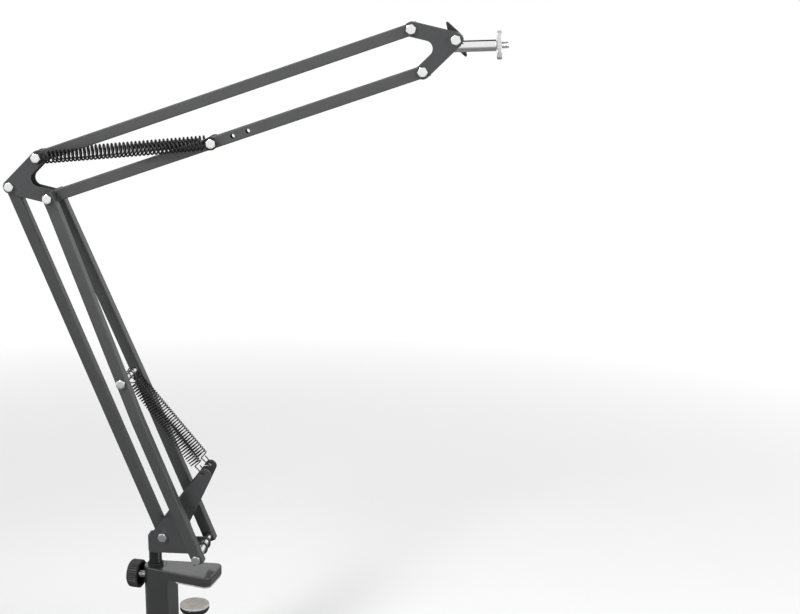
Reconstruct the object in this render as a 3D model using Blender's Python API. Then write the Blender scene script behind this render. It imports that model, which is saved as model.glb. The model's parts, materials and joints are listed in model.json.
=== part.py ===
"""A desk-clamp camera arm: two spring-balanced parallelograms of square steel tube on a swivel post.

The origin is on the swivel axis, at the height of the desk's top. The arm lies in the XZ plane and +X is where it
reaches. Near is -Y and far is +Y.
"""

import math

import bmesh
import bpy
from mathutils import Matrix, Vector

MM = 0.001

# Clearances between pieces
GAP = 0.3 * MM
HOLE_SLACK = 0.35 * MM

# Square tube and sheet
TUBE = 10.5 * MM
TUBE_WALL = 1.2 * MM
TUBE_CORNER = 1.0 * MM
TUBE_END = 5.4 * MM
PLATE = 2.0 * MM

# Lengths between pivots, and how the arm stands
LOWER_ARM = 357.3 * MM
UPPER_ARM = 352.8 * MM
LOWER_LEAN = math.radians(21.5)
UPPER_RISE = math.radians(18.8)
MOUNT_RISE = math.radians(2.0)
CLAMP_YAW = math.radians(-10.0)

# Where the pivots lie, each from the one named first, as (x, z)
POST_TO_FRONT = Vector((48.0, 33.6)) * MM
HUB_TO_LOBE_A = Vector((38.4, -8.9)) * MM
HUB_TO_LOBE_B = Vector((28.0, 27.2)) * MM
FRONT_TO_REAR = -HUB_TO_LOBE_A

# The lower front pair
PAIR_WIDTH = 66.5 * MM
PAIR_SHIFT = -4.2 * MM
PAIR_BEND = 141.0 * MM
PAIR_FLAT = 12.0 * MM
BEND_RADIUS = 40.0 * MM

# Fasteners
BOLT_R = 2.5 * MM
HEAD_R = 4.55 * MM
HEAD_THICK = 3.5 * MM
NUT_THICK = 4.0 * MM
BOLT_SPARE = 1.5 * MM
SPACER_R = 3.3 * MM
WASHER_R = 4.6 * MM
WASHER_THICK = 1.0 * MM
HEX = 12

# Clamp
JAW_PAD = 1.4 * MM
JAW_THICK = 9.2 * MM
CLAMP_END_R = 11.0 * MM
CLAMP_REACH = 62.0 * MM
CLAMP_TIP_HALF = 19.0 * MM
CLAMP_TIP_CORNER = 6.0 * MM
CLAMP_EDGE = 0.8 * MM
SPINE_FACE = 17.0 * MM
THROAT = 62.0 * MM
LOWER_JAW_THICK = 12.0 * MM
LOWER_JAW_REACH = 53.0 * MM
PAD_INSET = 0.4 * MM
PAD_CORNER = 4.0 * MM
PAD_BACK = 24.0 * MM
BOSS_GROOVE_R = 10.5 * MM
BOSS_GROOVE = 0.6 * MM

# Clamp screw
SCREW_X = 39.0 * MM
SCREW_R = 5.0 * MM
DESK = 25.0 * MM
PRESSURE_PAD_R = 14.0 * MM
PRESSURE_PAD_THICK = 5.0 * MM
LINER_THICK = 2.0 * MM
SCREW_SOCKET = 3.0 * MM
CLAMP_SCREW_LENGTH = 78.0 * MM
CLAMP_KNOB_R = 16.0 * MM
CLAMP_KNOB_LENGTH = 20.0 * MM
KNOB_GRIP = 12.0 * MM

# Post and its bush
POST_R = 6.15 * MM
POST_BOTTOM = -12.0 * MM
BUSH_R = 7.4 * MM
BUSH_FLANGE_R = 7.9 * MM
BUSH_FLANGE = 2.5 * MM
TANG_TOP = 8.0 * MM
TANG_REACH = 6.1 * MM
POST_NECK_R = 5.4 * MM
POST_NECK = 8.0 * MM

# Lock screw
LOCK_Z = -0.8 * MM
LOCK_SCREW_R = 3.0 * MM
LOCK_KNOB_R = 13.5 * MM
LOCK_KNOB_RIB = 0.8 * MM
LOCK_KNOB_THICK = 11.5 * MM
LOCK_KNOB_GAP = 3.9 * MM
LOCK_KNOB_WALL = 1.8 * MM
LOCK_KNOB_HUB_R = 6.5 * MM
LOCK_KNOB_HOLLOW = 7.5 * MM
LOCK_KNOB_HUB = 2.5 * MM

# Yoke
YOKE_BACK = -53.4 * MM
YOKE_LOW = -7.4 * MM
YOKE_LOBE_R = 4.6 * MM
YOKE_ARM = -14.0 * MM
YOKE_WEB_LOW = -5.2 * MM
YOKE_WEB_TOP = 9.0 * MM
YOKE_CHAMFER = 2.4 * MM
EAR_SEAT = Vector((4.4, 75.6)) * MM
EAR_SEAT_R = 1.25 * MM
EAR_SLOT = 2.2 * MM
EAR_TIP = Vector((5.2, 74.6)) * MM
EAR_TIP_R = 5.6 * MM
EAR_BACK = Vector((-2.5, 72.8)) * MM
EAR_FRONT = Vector((-0.7, 49.0)) * MM
YOKE_WAIST = Vector((-13.0, 3.0)) * MM
YOKE_WAIST_END = Vector((-10.6, 27.6)) * MM
YOKE_SHOULDER = Vector((-46.8, 15.2)) * MM
YOKE_WEB_LIP = 2.6 * MM

# Corner plates at the elbow and the head
LOBE_R = 6.4 * MM
CROTCH_R = 6.9 * MM

# Springs
WIRE_R = 0.75 * MM
LOWER_COIL_R = 5.0 * MM
UPPER_COIL_R = 5.15 * MM
LOWER_CURLS = 16
UPPER_CURLS = 18
CURL_POINTS = 8
LOWER_HOOK = 11.5 * MM
UPPER_HOOK = 11.5 * MM
SPRING_PIN_AT = 179.4 * MM
UPPER_SPRING_AT = 157.2 * MM
UPPER_SPRING_Y = 12.0 * MM
SPARE_HOLES_AT = (175.8 * MM, 190.3 * MM)
SPARE_HOLE_R = 2.1 * MM

# Head and camera mount
WING_HUB_R = 6.0 * MM
WING_HUB_LENGTH = 9.0 * MM
WING_SPAN = 34.4 * MM
WING_THICK = 5.0 * MM
WING_TIP_R = 1.1 * MM
WING_TILT = math.radians(30.8)
ROD_R = 5.0 * MM
ROD_DROP = 5.6 * MM
ROD_START = -4.5 * MM
ROD_END = 34.4 * MM
EYE_R = 6.2 * MM
STUD_R = 3.1 * MM
STUD_BURIED = 10.0 * MM
STUD_PROUD = 6.0 * MM
DISC_R = 12.2 * MM
DISC_THICK = 4.4 * MM
DISC_KNURL = 0.45 * MM

# Places across the arm, from the middle plane out
TUBE_HALF = TUBE / 2
PLATE_IN = TUBE_HALF + GAP
PLATE_OUT = PLATE_IN + PLATE
BAR_IN = PLATE_OUT + GAP
BAR_OUT = BAR_IN + TUBE
PAIR_HALF = (PAIR_WIDTH - TUBE) / 2
EAR_MIDDLE = PLATE_IN + PLATE / 2

# Steps on round pieces
ROUND = 20
KNOB_RIBS = 18
KNURL_COUNT = 18
SMALL_ROUND = 12
ARC = 7

JAW_LOW = JAW_PAD + GAP
JAW_TOP = JAW_LOW + JAW_THICK

PAINT_LOWER = ("lower_paint", (0.045, 0.046, 0.05), 0.38, 0.0)
PAINT_UPPER = ("upper_paint", (0.062, 0.064, 0.07), 0.38, 0.0)
PAINT_PLATE = ("plate_paint", (0.035, 0.036, 0.04), 0.42, 0.0)
CAST = ("clamp_paint", (0.05, 0.05, 0.053), 0.42, 0.0)
BLACK_PLASTIC = ("black_plastic", (0.02, 0.02, 0.021), 0.5, 0.0)
BLACK_STEEL = ("black_steel", (0.03, 0.03, 0.032), 0.25, 0.6)
ZINC = ("zinc", (0.72, 0.72, 0.71), 0.25, 1.0)
CHROME = ("chrome", (0.8, 0.8, 0.8), 0.1, 1.0)
SPRING_STEEL = ("spring_steel", (0.04, 0.04, 0.043), 0.22, 0.8)
PALE_PAD = ("pale_pad", (0.62, 0.6, 0.56), 0.8, 0.0)

ALONG_Y = (math.radians(-90), 0, 0)
ALONG_X = (0, math.radians(90), 0)


def clear_scene():
    for old in list(bpy.data.objects):
        bpy.data.objects.remove(old, do_unlink=True)


def material(finish):
    name, colour, roughness, metallic = finish
    made = bpy.data.materials.get(name)
    if made:
        return made
    made = bpy.data.materials.new(name)
    made.use_nodes = True
    shader = made.node_tree.nodes["Principled BSDF"]
    shader.inputs["Base Color"].default_value = (*colour, 1)
    shader.inputs["Roughness"].default_value = roughness
    shader.inputs["Metallic"].default_value = metallic
    return made


def pivot(name, parent, location, turn=(0, 0, 0)):
    """An empty on a joint's axis. What moves with the joint is parented to it."""
    empty = bpy.data.objects.new(name, None)
    empty.empty_display_size = 10 * MM
    bpy.context.scene.collection.objects.link(empty)
    empty.parent = parent
    empty.location = location
    empty.rotation_euler = turn
    return empty


def place(name, mesh, parent, finish, location=(0, 0, 0), turn=(0, 0, 0)):
    obj = bpy.data.objects.new(name, mesh)
    bpy.context.scene.collection.objects.link(obj)
    obj.parent = parent
    obj.location = location
    obj.rotation_euler = turn
    if finish:
        obj.data.materials.append(material(finish))
    return obj


def mesh_from(shape, name):
    bmesh.ops.recalc_face_normals(shape, faces=shape.faces)
    mesh = bpy.data.meshes.new(name)
    shape.to_mesh(mesh)
    shape.free()
    mesh.shade_smooth()
    mesh.set_sharp_from_angle(angle=math.radians(35))
    return mesh


def arc(centre, radius, start, end, steps=ARC):
    """Points on an arc from start to end, in degrees."""
    angles = [math.radians(start + (end - start) * i / steps) for i in range(steps + 1)]
    return [Vector((centre[0] + radius * math.cos(a), centre[1] + radius * math.sin(a))) for a in angles]


def prism(name, outline, low, high, upright=False):
    """The outline extruded from low to high: along Y from an outline in XZ, or along Z from one in XY."""
    shape = bmesh.new()
    if upright:
        corners = [shape.verts.new((p[0], p[1], low)) for p in outline]
        push = Vector((0, 0, high - low))
    else:
        corners = [shape.verts.new((p[0], low, p[1])) for p in outline]
        push = Vector((0, high - low, 0))
    face = shape.faces.new(corners)
    pulled = bmesh.ops.extrude_face_region(shape, geom=[face])["geom"]
    bmesh.ops.translate(shape, vec=push, verts=[v for v in pulled if isinstance(v, bmesh.types.BMVert)])
    return mesh_from(shape, name)


def box(name, low, high):
    outline = [(low[0], low[1]), (high[0], low[1]), (high[0], high[1]), (low[0], high[1])]
    return prism(name, outline, low[2], high[2], upright=True)


def turned(name, rings, sides=ROUND, hollow=False):
    """Rings of points about Z, joined in order. A ring is (z, radius) or (z, radius of even points, of odd points).

    A solid piece is closed by a face at each end, and a hollow one by joining its last ring to its first.
    """
    shape = bmesh.new()
    loops = []
    for ring in rings:
        z, even, odd = ring if len(ring) == 3 else (ring[0], ring[1], ring[1])
        loop = []
        for i in range(sides):
            angle = 2 * math.pi * i / sides
            radius = odd if i % 2 else even
            loop.append(shape.verts.new((radius * math.cos(angle), radius * math.sin(angle), z)))
        loops.append(loop)
    pairs = list(zip(loops, loops[1:]))
    if hollow:
        pairs.append((loops[-1], loops[0]))
    else:
        shape.faces.new(loops[0])
        shape.faces.new(loops[-1])
    for one, two in pairs:
        for i in range(sides):
            j = (i + 1) % sides
            shape.faces.new((one[i], one[j], two[j], two[i]))
    return mesh_from(shape, name)


def hexagon(z, corner):
    """A ring for turned() with six corners and six mid-sides."""
    return (z, corner, corner * math.cos(math.radians(30)))


def change(obj, tool, operation="DIFFERENCE"):
    """A Boolean on obj by tool, which stays in the scene as a hidden helper."""
    tool.hide_render = True
    tool.display_type = "WIRE"
    modifier = obj.modifiers.new(operation.title(), "BOOLEAN")
    modifier.operation = operation
    modifier.solver = "EXACT"
    modifier.object = tool


def drill(obj, radius, low, high, location=(0, 0, 0), turn=ALONG_Y, sides=SMALL_ROUND):
    tool = place(f"{obj.name}_drill", turned("drill", [(low, radius), (high, radius)], sides), obj.parent, None)
    tool.location = location
    tool.rotation_euler = turn
    change(obj, tool)


def bolt(name, parent, x, z, low, high, radius=BOLT_R):
    """A hex bolt along Y: its head lies on the near side of low, and its end stands past high."""
    end = high + BOLT_SPARE
    rings = [
        hexagon(low - HEAD_THICK, HEAD_R * 0.9),
        hexagon(low - HEAD_THICK * 0.88, HEAD_R),
        hexagon(low, HEAD_R),
        (low, radius),
        (end - radius * 0.2, radius),
        (end, radius * 0.8),
    ]
    return place(name, turned(name, rings, HEX), parent, ZINC, (x, 0, z), ALONG_Y)


def nut(name, parent, x, z, low):
    rings = [
        hexagon(low, HEAD_R),
        hexagon(low + NUT_THICK, HEAD_R),
        (low + NUT_THICK, BOLT_R + GAP),
        (low, BOLT_R + GAP),
    ]
    return place(name, turned(name, rings, HEX, hollow=True), parent, ZINC, (x, 0, z), ALONG_Y)


def bolted(name, parent, x, z, low, high):
    """A bolt whose head seats on low and whose nut seats on high, both with a gap."""
    bolt(f"{name}_bolt", parent, x, z, low - GAP, high + GAP + NUT_THICK)
    nut(f"{name}_nut", parent, x, z, high + GAP)


def sleeve(name, parent, x, z, low, high, radius, finish, sides=HEX):
    """A plain sleeve or washer on a bolt, between low and high."""
    bore = BOLT_R + GAP
    rings = [(low, radius), (high, radius), (high, bore), (low, bore)]
    return place(name, turned(name, rings, sides, hollow=True), parent, finish, (x, 0, z), ALONG_Y)


def rounded_square(half, corner):
    return [
        (half, corner - half),
        (half, half - corner),
        (half - corner, half),
        (corner - half, half),
        (-half, half - corner),
        (-half, corner - half),
        (corner - half, -half),
        (half - corner, -half),
    ]


def bent_path(start, corners, end, radius, steps=2):
    """(y, z) points along a tube's middle, each corner rounded by an arc."""
    points = [Vector(start)]
    stops = [Vector(start), *[Vector(c) for c in corners], Vector(end)]
    for before, corner, after in zip(stops, stops[1:], stops[2:]):
        into = (corner - before).normalized()
        out = (after - corner).normalized()
        turn = into.angle_signed(out)
        reach = radius * math.tan(abs(turn) / 2)
        first = corner - into * reach
        last = corner + out * reach
        for i in range(steps + 1):
            t = i / steps
            points.append(first * (1 - t) ** 2 + corner * (2 * t * (1 - t)) + last * t ** 2)
    points.append(Vector(end))
    return points


def square_tube(name, path):
    """An open square tube whose middle runs along the (y, z) points of path."""
    rims = [rounded_square(TUBE_HALF, TUBE_CORNER), rounded_square(TUBE_HALF - TUBE_WALL, TUBE_CORNER / 3)]
    shape = bmesh.new()
    stations = []
    for i, point in enumerate(path):
        ways = []
        if i > 0:
            ways.append((point - path[i - 1]).normalized())
        if i < len(path) - 1:
            ways.append((path[i + 1] - point).normalized())
        sides = [Vector((way.y, -way.x)) for way in ways]
        across = sides[0] if len(sides) == 1 else (sides[0] + sides[1]) / (1 + sides[0].dot(sides[1]))
        station = []
        for rim in rims:
            station.append([shape.verts.new((x, point.x + v * across.x, point.y + v * across.y)) for x, v in rim])
        stations.append(station)
    count = len(rims[0])
    for one, two in zip(stations, stations[1:]):
        for rim in range(2):
            for i in range(count):
                j = (i + 1) % count
                shape.faces.new((one[rim][i], one[rim][j], two[rim][j], two[rim][i]))
    for outer, inner in (stations[0], stations[-1]):
        for i in range(count):
            j = (i + 1) % count
            shape.faces.new((outer[i], outer[j], inner[j], inner[i]))
    return mesh_from(shape, name)


def drill_tube(obj, z, y=0.0, radius=BOLT_R + HOLE_SLACK):
    drill(obj, radius, -TUBE, TUBE, (0, y, z))


def straight_tube(name, parent, length, finish, last_hole=0.0):
    """A tube with a hole at each end. Its middle station lies clear of the holes, halfway past the last one."""
    path = [Vector((0, -TUBE_END)), Vector((0, (last_hole + length) / 2)), Vector((0, length + TUBE_END))]
    obj = place(name, square_tube(name, path), parent, finish)
    drill_tube(obj, 0)
    drill_tube(obj, length)
    return obj


def pair_y(side, along):
    """The middle of a lower front bar at a height along the arm. side is -1 near and 1 far."""
    base = PAIR_SHIFT + side * PAIR_HALF
    top = side * (BAR_IN + TUBE_HALF)
    flat = LOWER_ARM - PAIR_FLAT
    share = min(max((along - PAIR_BEND) / (flat - PAIR_BEND), 0), 1)
    return base + (top - base) * share


def clamp_outline():
    """The clamp's plan: round about the post and widening to the tip. It reads anticlockwise from above."""
    taper = math.atan2(CLAMP_TIP_HALF - CLAMP_END_R, CLAMP_REACH)
    tilt = math.degrees(taper)
    tip = CLAMP_REACH - CLAMP_TIP_CORNER
    corner_y = CLAMP_TIP_HALF - CLAMP_TIP_CORNER
    near = arc((tip, -corner_y), CLAMP_TIP_CORNER, -90 - tilt, 0)
    far = arc((tip, corner_y), CLAMP_TIP_CORNER, 0, 90 + tilt)
    back = arc((0, 0), CLAMP_END_R, 90 + tilt, 270 - tilt, 2 * ARC)
    return near + far + back


def make_clamp(clamp):
    bottom = JAW_LOW - THROAT - LOWER_JAW_THICK
    frame = place("clamp_frame", prism("clamp_frame", clamp_outline(), bottom, JAW_TOP, upright=True), clamp, CAST)
    edge = frame.modifiers.new("Edge", "BEVEL")
    edge.width = CLAMP_EDGE
    edge.segments = 1
    edge.limit_method = "ANGLE"
    edge.angle_limit = math.radians(60)
    wide = 2 * CLAMP_TIP_HALF
    far_x = CLAMP_REACH + wide
    throat = box("throat", (SPINE_FACE, -wide, JAW_LOW - THROAT), (far_x, wide, JAW_LOW))
    change(frame, place("clamp_throat", throat, clamp, None))
    short = box("short", (LOWER_JAW_REACH, -wide, bottom - wide), (far_x, wide, JAW_LOW - THROAT / 2))
    change(frame, place("clamp_short", short, clamp, None))
    drill(frame, BUSH_R + GAP, POST_BOTTOM - 2 * GAP, JAW_TOP + TUBE, turn=(0, 0, 0), sides=ROUND)
    drill(frame, LOCK_SCREW_R + HOLE_SLACK, -2 * CLAMP_END_R, 0, (0, 0, LOCK_Z), ALONG_X)
    drill(frame, SCREW_R + HOLE_SLACK, bottom - TUBE, bottom + THROAT / 2, (SCREW_X, 0, 0), (0, 0, 0), ROUND)
    groove_in = arc((0, 0), BOSS_GROOVE_R - BOSS_GROOVE / 2, -41, 41, 2 * ARC)
    groove_out = arc((0, 0), BOSS_GROOVE_R + BOSS_GROOVE / 2, 41, -41, 2 * ARC)
    groove = prism("groove", groove_in + groove_out, JAW_TOP - BOSS_GROOVE, JAW_TOP + TUBE, upright=True)
    change(frame, place("clamp_groove", groove, clamp, None))

    tip = CLAMP_REACH - PAD_INSET
    half = CLAMP_TIP_HALF - PAD_INSET
    back_half = half - (tip - PAD_BACK) * (CLAMP_TIP_HALF - CLAMP_END_R) / CLAMP_REACH
    plan = [
        (PAD_BACK, -back_half),
        (tip - PAD_CORNER, -half),
        (tip, PAD_CORNER - half),
        (tip, half - PAD_CORNER),
        (tip - PAD_CORNER, half),
        (PAD_BACK, back_half),
    ]
    place("upper_jaw_pad", prism("upper_jaw_pad", plan, 0, JAW_PAD, upright=True), clamp, PALE_PAD)

    bore = POST_R + GAP
    low = POST_BOTTOM - GAP
    rings = [
        (low, BUSH_R),
        (JAW_TOP + GAP, BUSH_R),
        (JAW_TOP + GAP, BUSH_FLANGE_R),
        (JAW_TOP + GAP + BUSH_FLANGE, BUSH_FLANGE_R),
        (JAW_TOP + GAP + BUSH_FLANGE, bore),
        (low, bore),
    ]
    bush = place("post_bush", turned("post_bush", rings, ROUND, hollow=True), clamp, BLACK_PLASTIC)
    drill(bush, LOCK_SCREW_R + HOLE_SLACK, -2 * CLAMP_END_R, 0, (0, 0, LOCK_Z), ALONG_X)


def make_clamp_screw(clamp):
    top = -DESK
    travel = pivot("pad_travel", clamp, (SCREW_X, 0, 0))
    rings = [(top - LINER_THICK, PRESSURE_PAD_R), (top, PRESSURE_PAD_R)]
    place("pressure_pad_liner", turned("pressure_pad_liner", rings), travel, PALE_PAD)
    pad_top = top - LINER_THICK - GAP
    pad_low = pad_top - PRESSURE_PAD_THICK
    socket = pad_low + SCREW_SOCKET
    bore = SCREW_R + HOLE_SLACK
    rings = [
        (socket, bore),
        (pad_low - SCREW_SOCKET, bore),
        (pad_low - SCREW_SOCKET, bore + TUBE_WALL),
        (pad_low, bore + 2 * TUBE_WALL),
        (pad_low, PRESSURE_PAD_R * 0.9),
        (pad_low + PRESSURE_PAD_THICK / 2, PRESSURE_PAD_R),
        (pad_top, PRESSURE_PAD_R),
    ]
    place("pressure_pad", turned("pressure_pad", rings), travel, BLACK_STEEL)

    spin = pivot("clamp_screw_turn", travel, (0, 0, 0))
    tip = socket - GAP
    end = tip - CLAMP_SCREW_LENGTH
    chamfer = SCREW_R * 0.2
    rings = [(end, SCREW_R - chamfer), (end + chamfer, SCREW_R), (tip - chamfer, SCREW_R), (tip, SCREW_R - chamfer)]
    place("clamp_screw", turned("clamp_screw", rings), spin, ZINC)
    knob_top = end + KNOB_GRIP
    knob_low = knob_top - CLAMP_KNOB_LENGTH
    ridge = CLAMP_KNOB_R - LOCK_KNOB_RIB
    rings = [
        (knob_low, ridge * 0.85),
        (knob_low + CLAMP_KNOB_R / 6, CLAMP_KNOB_R, ridge),
        (knob_top - CLAMP_KNOB_R / 4, CLAMP_KNOB_R, ridge),
        (knob_top, SCREW_R * 1.8),
        (knob_top, SCREW_R + GAP),
        (end - GAP, SCREW_R + GAP),
    ]
    place("clamp_knob", turned("clamp_knob", rings, 2 * KNOB_RIBS), spin, BLACK_PLASTIC)


def make_lock_screw(clamp):
    """The lock screw and its hollow ribbed knob lie along X. Local +Z runs from the knob towards the post."""
    turn = pivot("lock_screw_turn", clamp, (0, 0, LOCK_Z), ALONG_X)
    tip = -POST_NECK_R - GAP
    mouth = -CLAMP_END_R - LOCK_KNOB_GAP
    back = mouth - LOCK_KNOB_THICK
    seat = back + LOCK_KNOB_THICK - LOCK_KNOB_HOLLOW
    screw_back = back + LOCK_KNOB_WALL
    rings = [(screw_back, LOCK_SCREW_R), (tip - LOCK_SCREW_R / 4, LOCK_SCREW_R), (tip, LOCK_SCREW_R * 0.75)]
    place("lock_screw", turned("lock_screw", rings), turn, ZINC)
    ridge = LOCK_KNOB_R - LOCK_KNOB_RIB
    inside = ridge - LOCK_KNOB_WALL
    bore = LOCK_SCREW_R + GAP
    rings = [
        (back, ridge * 0.92),
        (back + LOCK_KNOB_RIB * 2, LOCK_KNOB_R, ridge),
        (mouth, LOCK_KNOB_R, ridge),
        (mouth, inside),
        (seat, inside),
        (seat, LOCK_KNOB_HUB_R),
        (seat + LOCK_KNOB_HUB, LOCK_KNOB_HUB_R),
        (seat + LOCK_KNOB_HUB, bore),
        (screw_back - GAP, bore),
    ]
    place("lock_knob", turned("lock_knob", rings, 2 * KNOB_RIBS), turn, BLACK_PLASTIC)


def curve_between(start, handle, end, steps=ARC):
    """Points on a curve that leaves start towards handle and reaches end from it. Both ends are left out."""
    shares = [i / steps for i in range(1, steps)]
    return [start * (1 - t) ** 2 + handle * (2 * t * (1 - t)) + end * t ** 2 for t in shares]


def yoke_outline(front):
    """The folded plate's side view, from the web's low corner round by the lobe and the ear."""
    back = front.x + YOKE_BACK
    low = front.y + YOKE_LOW
    web_top = front.y + YOKE_WEB_TOP
    heel = [Vector((back, front.y + YOKE_WEB_LOW)), Vector((back + YOKE_CHAMFER, low))]
    heel.append(Vector((front.x + YOKE_ARM, low)))
    lobe = arc(front, YOKE_LOBE_R, -100, 90)
    waist = curve_between(lobe[-1], front + YOKE_WAIST, front + YOKE_WAIST_END)
    ear = [front + YOKE_WAIST_END, front + EAR_FRONT]
    tip = arc(front + EAR_TIP, EAR_TIP_R, -30, 150)
    flank = [
        front + EAR_BACK,
        front + YOKE_SHOULDER,
        Vector((back + YOKE_WEB_LIP, web_top)),
        Vector((back, web_top)),
    ]
    return heel + lobe + waist + ear + tip + flank


def make_yoke(swivel, front):
    rear = front + FRONT_TO_REAR
    yoke = place("yoke", prism("yoke", yoke_outline(front), -PLATE_OUT, PLATE_OUT), swivel, PAINT_PLATE)
    inside = box(
        "yoke_inside",
        (front.x + YOKE_BACK + PLATE, -PLATE_IN, front.y - 2 * TUBE),
        (front.x + 4 * TUBE, PLATE_IN, front.y + 10 * TUBE),
    )
    change(yoke, place("yoke_inside", inside, swivel, None))
    for hole in (front, rear):
        drill(yoke, BOLT_R + HOLE_SLACK, -BAR_OUT, BAR_OUT, (hole.x, 0, hole.y))
    seat = front + EAR_SEAT
    half = EAR_SLOT / 2
    pocket = arc(seat, EAR_SEAT_R, -90, 180)
    mouth = [Vector((seat.x - EAR_SEAT_R, seat.y - half / 2)), Vector((seat.x - TUBE, seat.y - half / 2))]
    lip = [Vector((seat.x - TUBE, seat.y - EAR_SEAT_R - half))]
    slot = prism("ear_slot", pocket + mouth + lip, -BAR_OUT, BAR_OUT)
    change(yoke, place("yoke_slot", slot, swivel, None))
    bolted("rear_pivot", swivel, rear.x, rear.y, -PLATE_OUT, PLATE_OUT)


def make_post(swivel, front):
    shoulder = front.y + YOKE_LOW - GAP
    neck_low = LOCK_Z - POST_NECK / 2
    neck_high = LOCK_Z + POST_NECK / 2
    chamfer = POST_R * 0.12
    rings = [
        (POST_BOTTOM, POST_R - chamfer),
        (POST_BOTTOM + chamfer, POST_R),
        (neck_low, POST_R),
        (neck_low, POST_NECK_R),
        (neck_high, POST_NECK_R),
        (neck_high, POST_R),
        (shoulder, POST_R),
    ]
    post = place("swivel_post", turned("swivel_post", rings), swivel, BLACK_STEEL)
    web_inside = front.x + YOKE_BACK + PLATE + GAP
    tang = box("tang", (web_inside, -TUBE_HALF, shoulder - TUBE_HALF), (TANG_REACH, TUBE_HALF, shoulder + TANG_TOP))
    ledge = turned("tang_limit", [(shoulder - TUBE, POST_R * 0.98), (shoulder + TUBE, POST_R * 0.98)])
    tang_tool = place("post_tang", tang, swivel, None)
    change(tang_tool, place("post_tang_limit", ledge, swivel, None), "INTERSECT")
    change(post, tang_tool, "UNION")


def make_base_stack(swivel, front):
    """The long bolt through the yoke's lobe, with the spacers and washers that hold the bars apart."""
    near = PAIR_SHIFT - PAIR_HALF
    far = PAIR_SHIFT + PAIR_HALF
    bolted("base_front", swivel, front.x, front.y, near - TUBE_HALF, far + TUBE_HALF)
    near_in = near + TUBE_HALF
    far_in = far - TUBE_HALF
    washer_near = (near_in + GAP, near_in + GAP + WASHER_THICK)
    washer_far = (far_in - GAP - WASHER_THICK, far_in - GAP)
    sleeve("base_washer_near", swivel, front.x, front.y, *washer_near, WASHER_R, BLACK_STEEL, ROUND)
    sleeve("base_washer_far", swivel, front.x, front.y, *washer_far, WASHER_R, BLACK_STEEL, ROUND)
    sleeve("base_spacer_near", swivel, front.x, front.y, washer_near[1] + GAP, -BAR_IN, SPACER_R + GAP, ZINC)
    sleeve("base_spacer_mid", swivel, front.x, front.y, -TUBE_HALF, TUBE_HALF, SPACER_R + GAP, ZINC)
    sleeve("base_spacer_far", swivel, front.x, front.y, BAR_IN, washer_far[0] - GAP, SPACER_R + GAP, ZINC)


def make_lower_pair(arm):
    """Two bars, upright and apart at the base, bent in to meet the elbow plates."""
    for side, name in ((-1, "lower_bar_near"), (1, "lower_bar_far")):
        bends = [PAIR_BEND, LOWER_ARM - PAIR_FLAT]
        corners = [(pair_y(side, along), along) for along in bends]
        start = (pair_y(side, 0), -TUBE_END)
        end = (pair_y(side, LOWER_ARM), LOWER_ARM + TUBE_END)
        path = bent_path(start, corners, end, BEND_RADIUS)
        bar = place(name, square_tube(name, path), arm, PAINT_LOWER)
        for along in (0, SPRING_PIN_AT, LOWER_ARM):
            drill_tube(bar, along, pair_y(side, along))

    slope = TUBE_HALF * 0.1
    low = pair_y(-1, SPRING_PIN_AT) - TUBE_HALF - slope
    high = pair_y(1, SPRING_PIN_AT) + TUBE_HALF + slope
    pin = pivot("spring_pin_place", arm, (0, 0, SPRING_PIN_AT))
    bolt("spring_pin", pin, 0, 0, low, high + GAP + NUT_THICK)
    nut("spring_pin_nut", pin, 0, 0, high + GAP)
    loop_half = WIRE_R + GAP
    near_in = pair_y(-1, SPRING_PIN_AT) + TUBE_HALF + slope
    far_in = pair_y(1, SPRING_PIN_AT) - TUBE_HALF - slope
    spans = (
        ("near", near_in, -EAR_MIDDLE - loop_half),
        ("mid", loop_half - EAR_MIDDLE, EAR_MIDDLE - loop_half),
        ("far", EAR_MIDDLE + loop_half, far_in),
    )
    for name, start, end in spans:
        sleeve(f"spring_pin_spacer_{name}", pin, 0, 0, start, end, SPACER_R, ZINC)


def corner_plate_outline():
    """Two lobed arms from a hub, with a round crotch between them."""
    a, b = HUB_TO_LOBE_A, HUB_TO_LOBE_B
    way_a = math.degrees(math.atan2(a.y, a.x))
    way_b = math.degrees(math.atan2(b.y, b.x))
    half = (way_b - way_a) / 2
    middle = math.radians(way_a + half)
    reach = (LOBE_R + CROTCH_R) / math.sin(math.radians(half))
    crotch = Vector((math.cos(middle), math.sin(middle))) * reach
    hub = arc((0, 0), LOBE_R, way_b + 90, way_a + 270)
    lobe_a = arc(a, LOBE_R, way_a - 90, way_a + 90)
    inner = arc(crotch, CROTCH_R, way_a + 270, way_b + 90)
    lobe_b = arc(b, LOBE_R, way_b - 90, way_b + 90)
    return hub + lobe_a + inner + lobe_b


def corner_plates(name, parent, hub, turn):
    outline = corner_plate_outline()
    flip = Matrix.Rotation(turn, 2)
    for side, low in (("near", -PLATE_OUT), ("far", PLATE_IN)):
        label = f"{name}_plate_{side}"
        plate = place(label, prism(label, outline, low, low + PLATE), parent, PAINT_PLATE, (hub.x, 0, hub.y))
        plate.rotation_euler = (0, turn, 0)
        for spot in (Vector((0, 0)), HUB_TO_LOBE_A, HUB_TO_LOBE_B):
            at = hub + flip @ spot
            drill(plate, BOLT_R + HOLE_SLACK, -BAR_IN, BAR_IN, (at.x, 0, at.y))


def make_elbow(elbow):
    """The elbow's frame has its origin on the front pivot and stays upright."""
    hub = -HUB_TO_LOBE_A
    top = hub + HUB_TO_LOBE_B
    corner_plates("elbow", elbow, hub, 0)
    bolted("elbow_front", elbow, 0, 0, -BAR_OUT, BAR_OUT)
    bolted("elbow_rear", elbow, hub.x, hub.y, -PLATE_OUT, PLATE_OUT)
    spring_bolt("elbow_top", elbow, top, BAR_IN)
    return top


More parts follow.
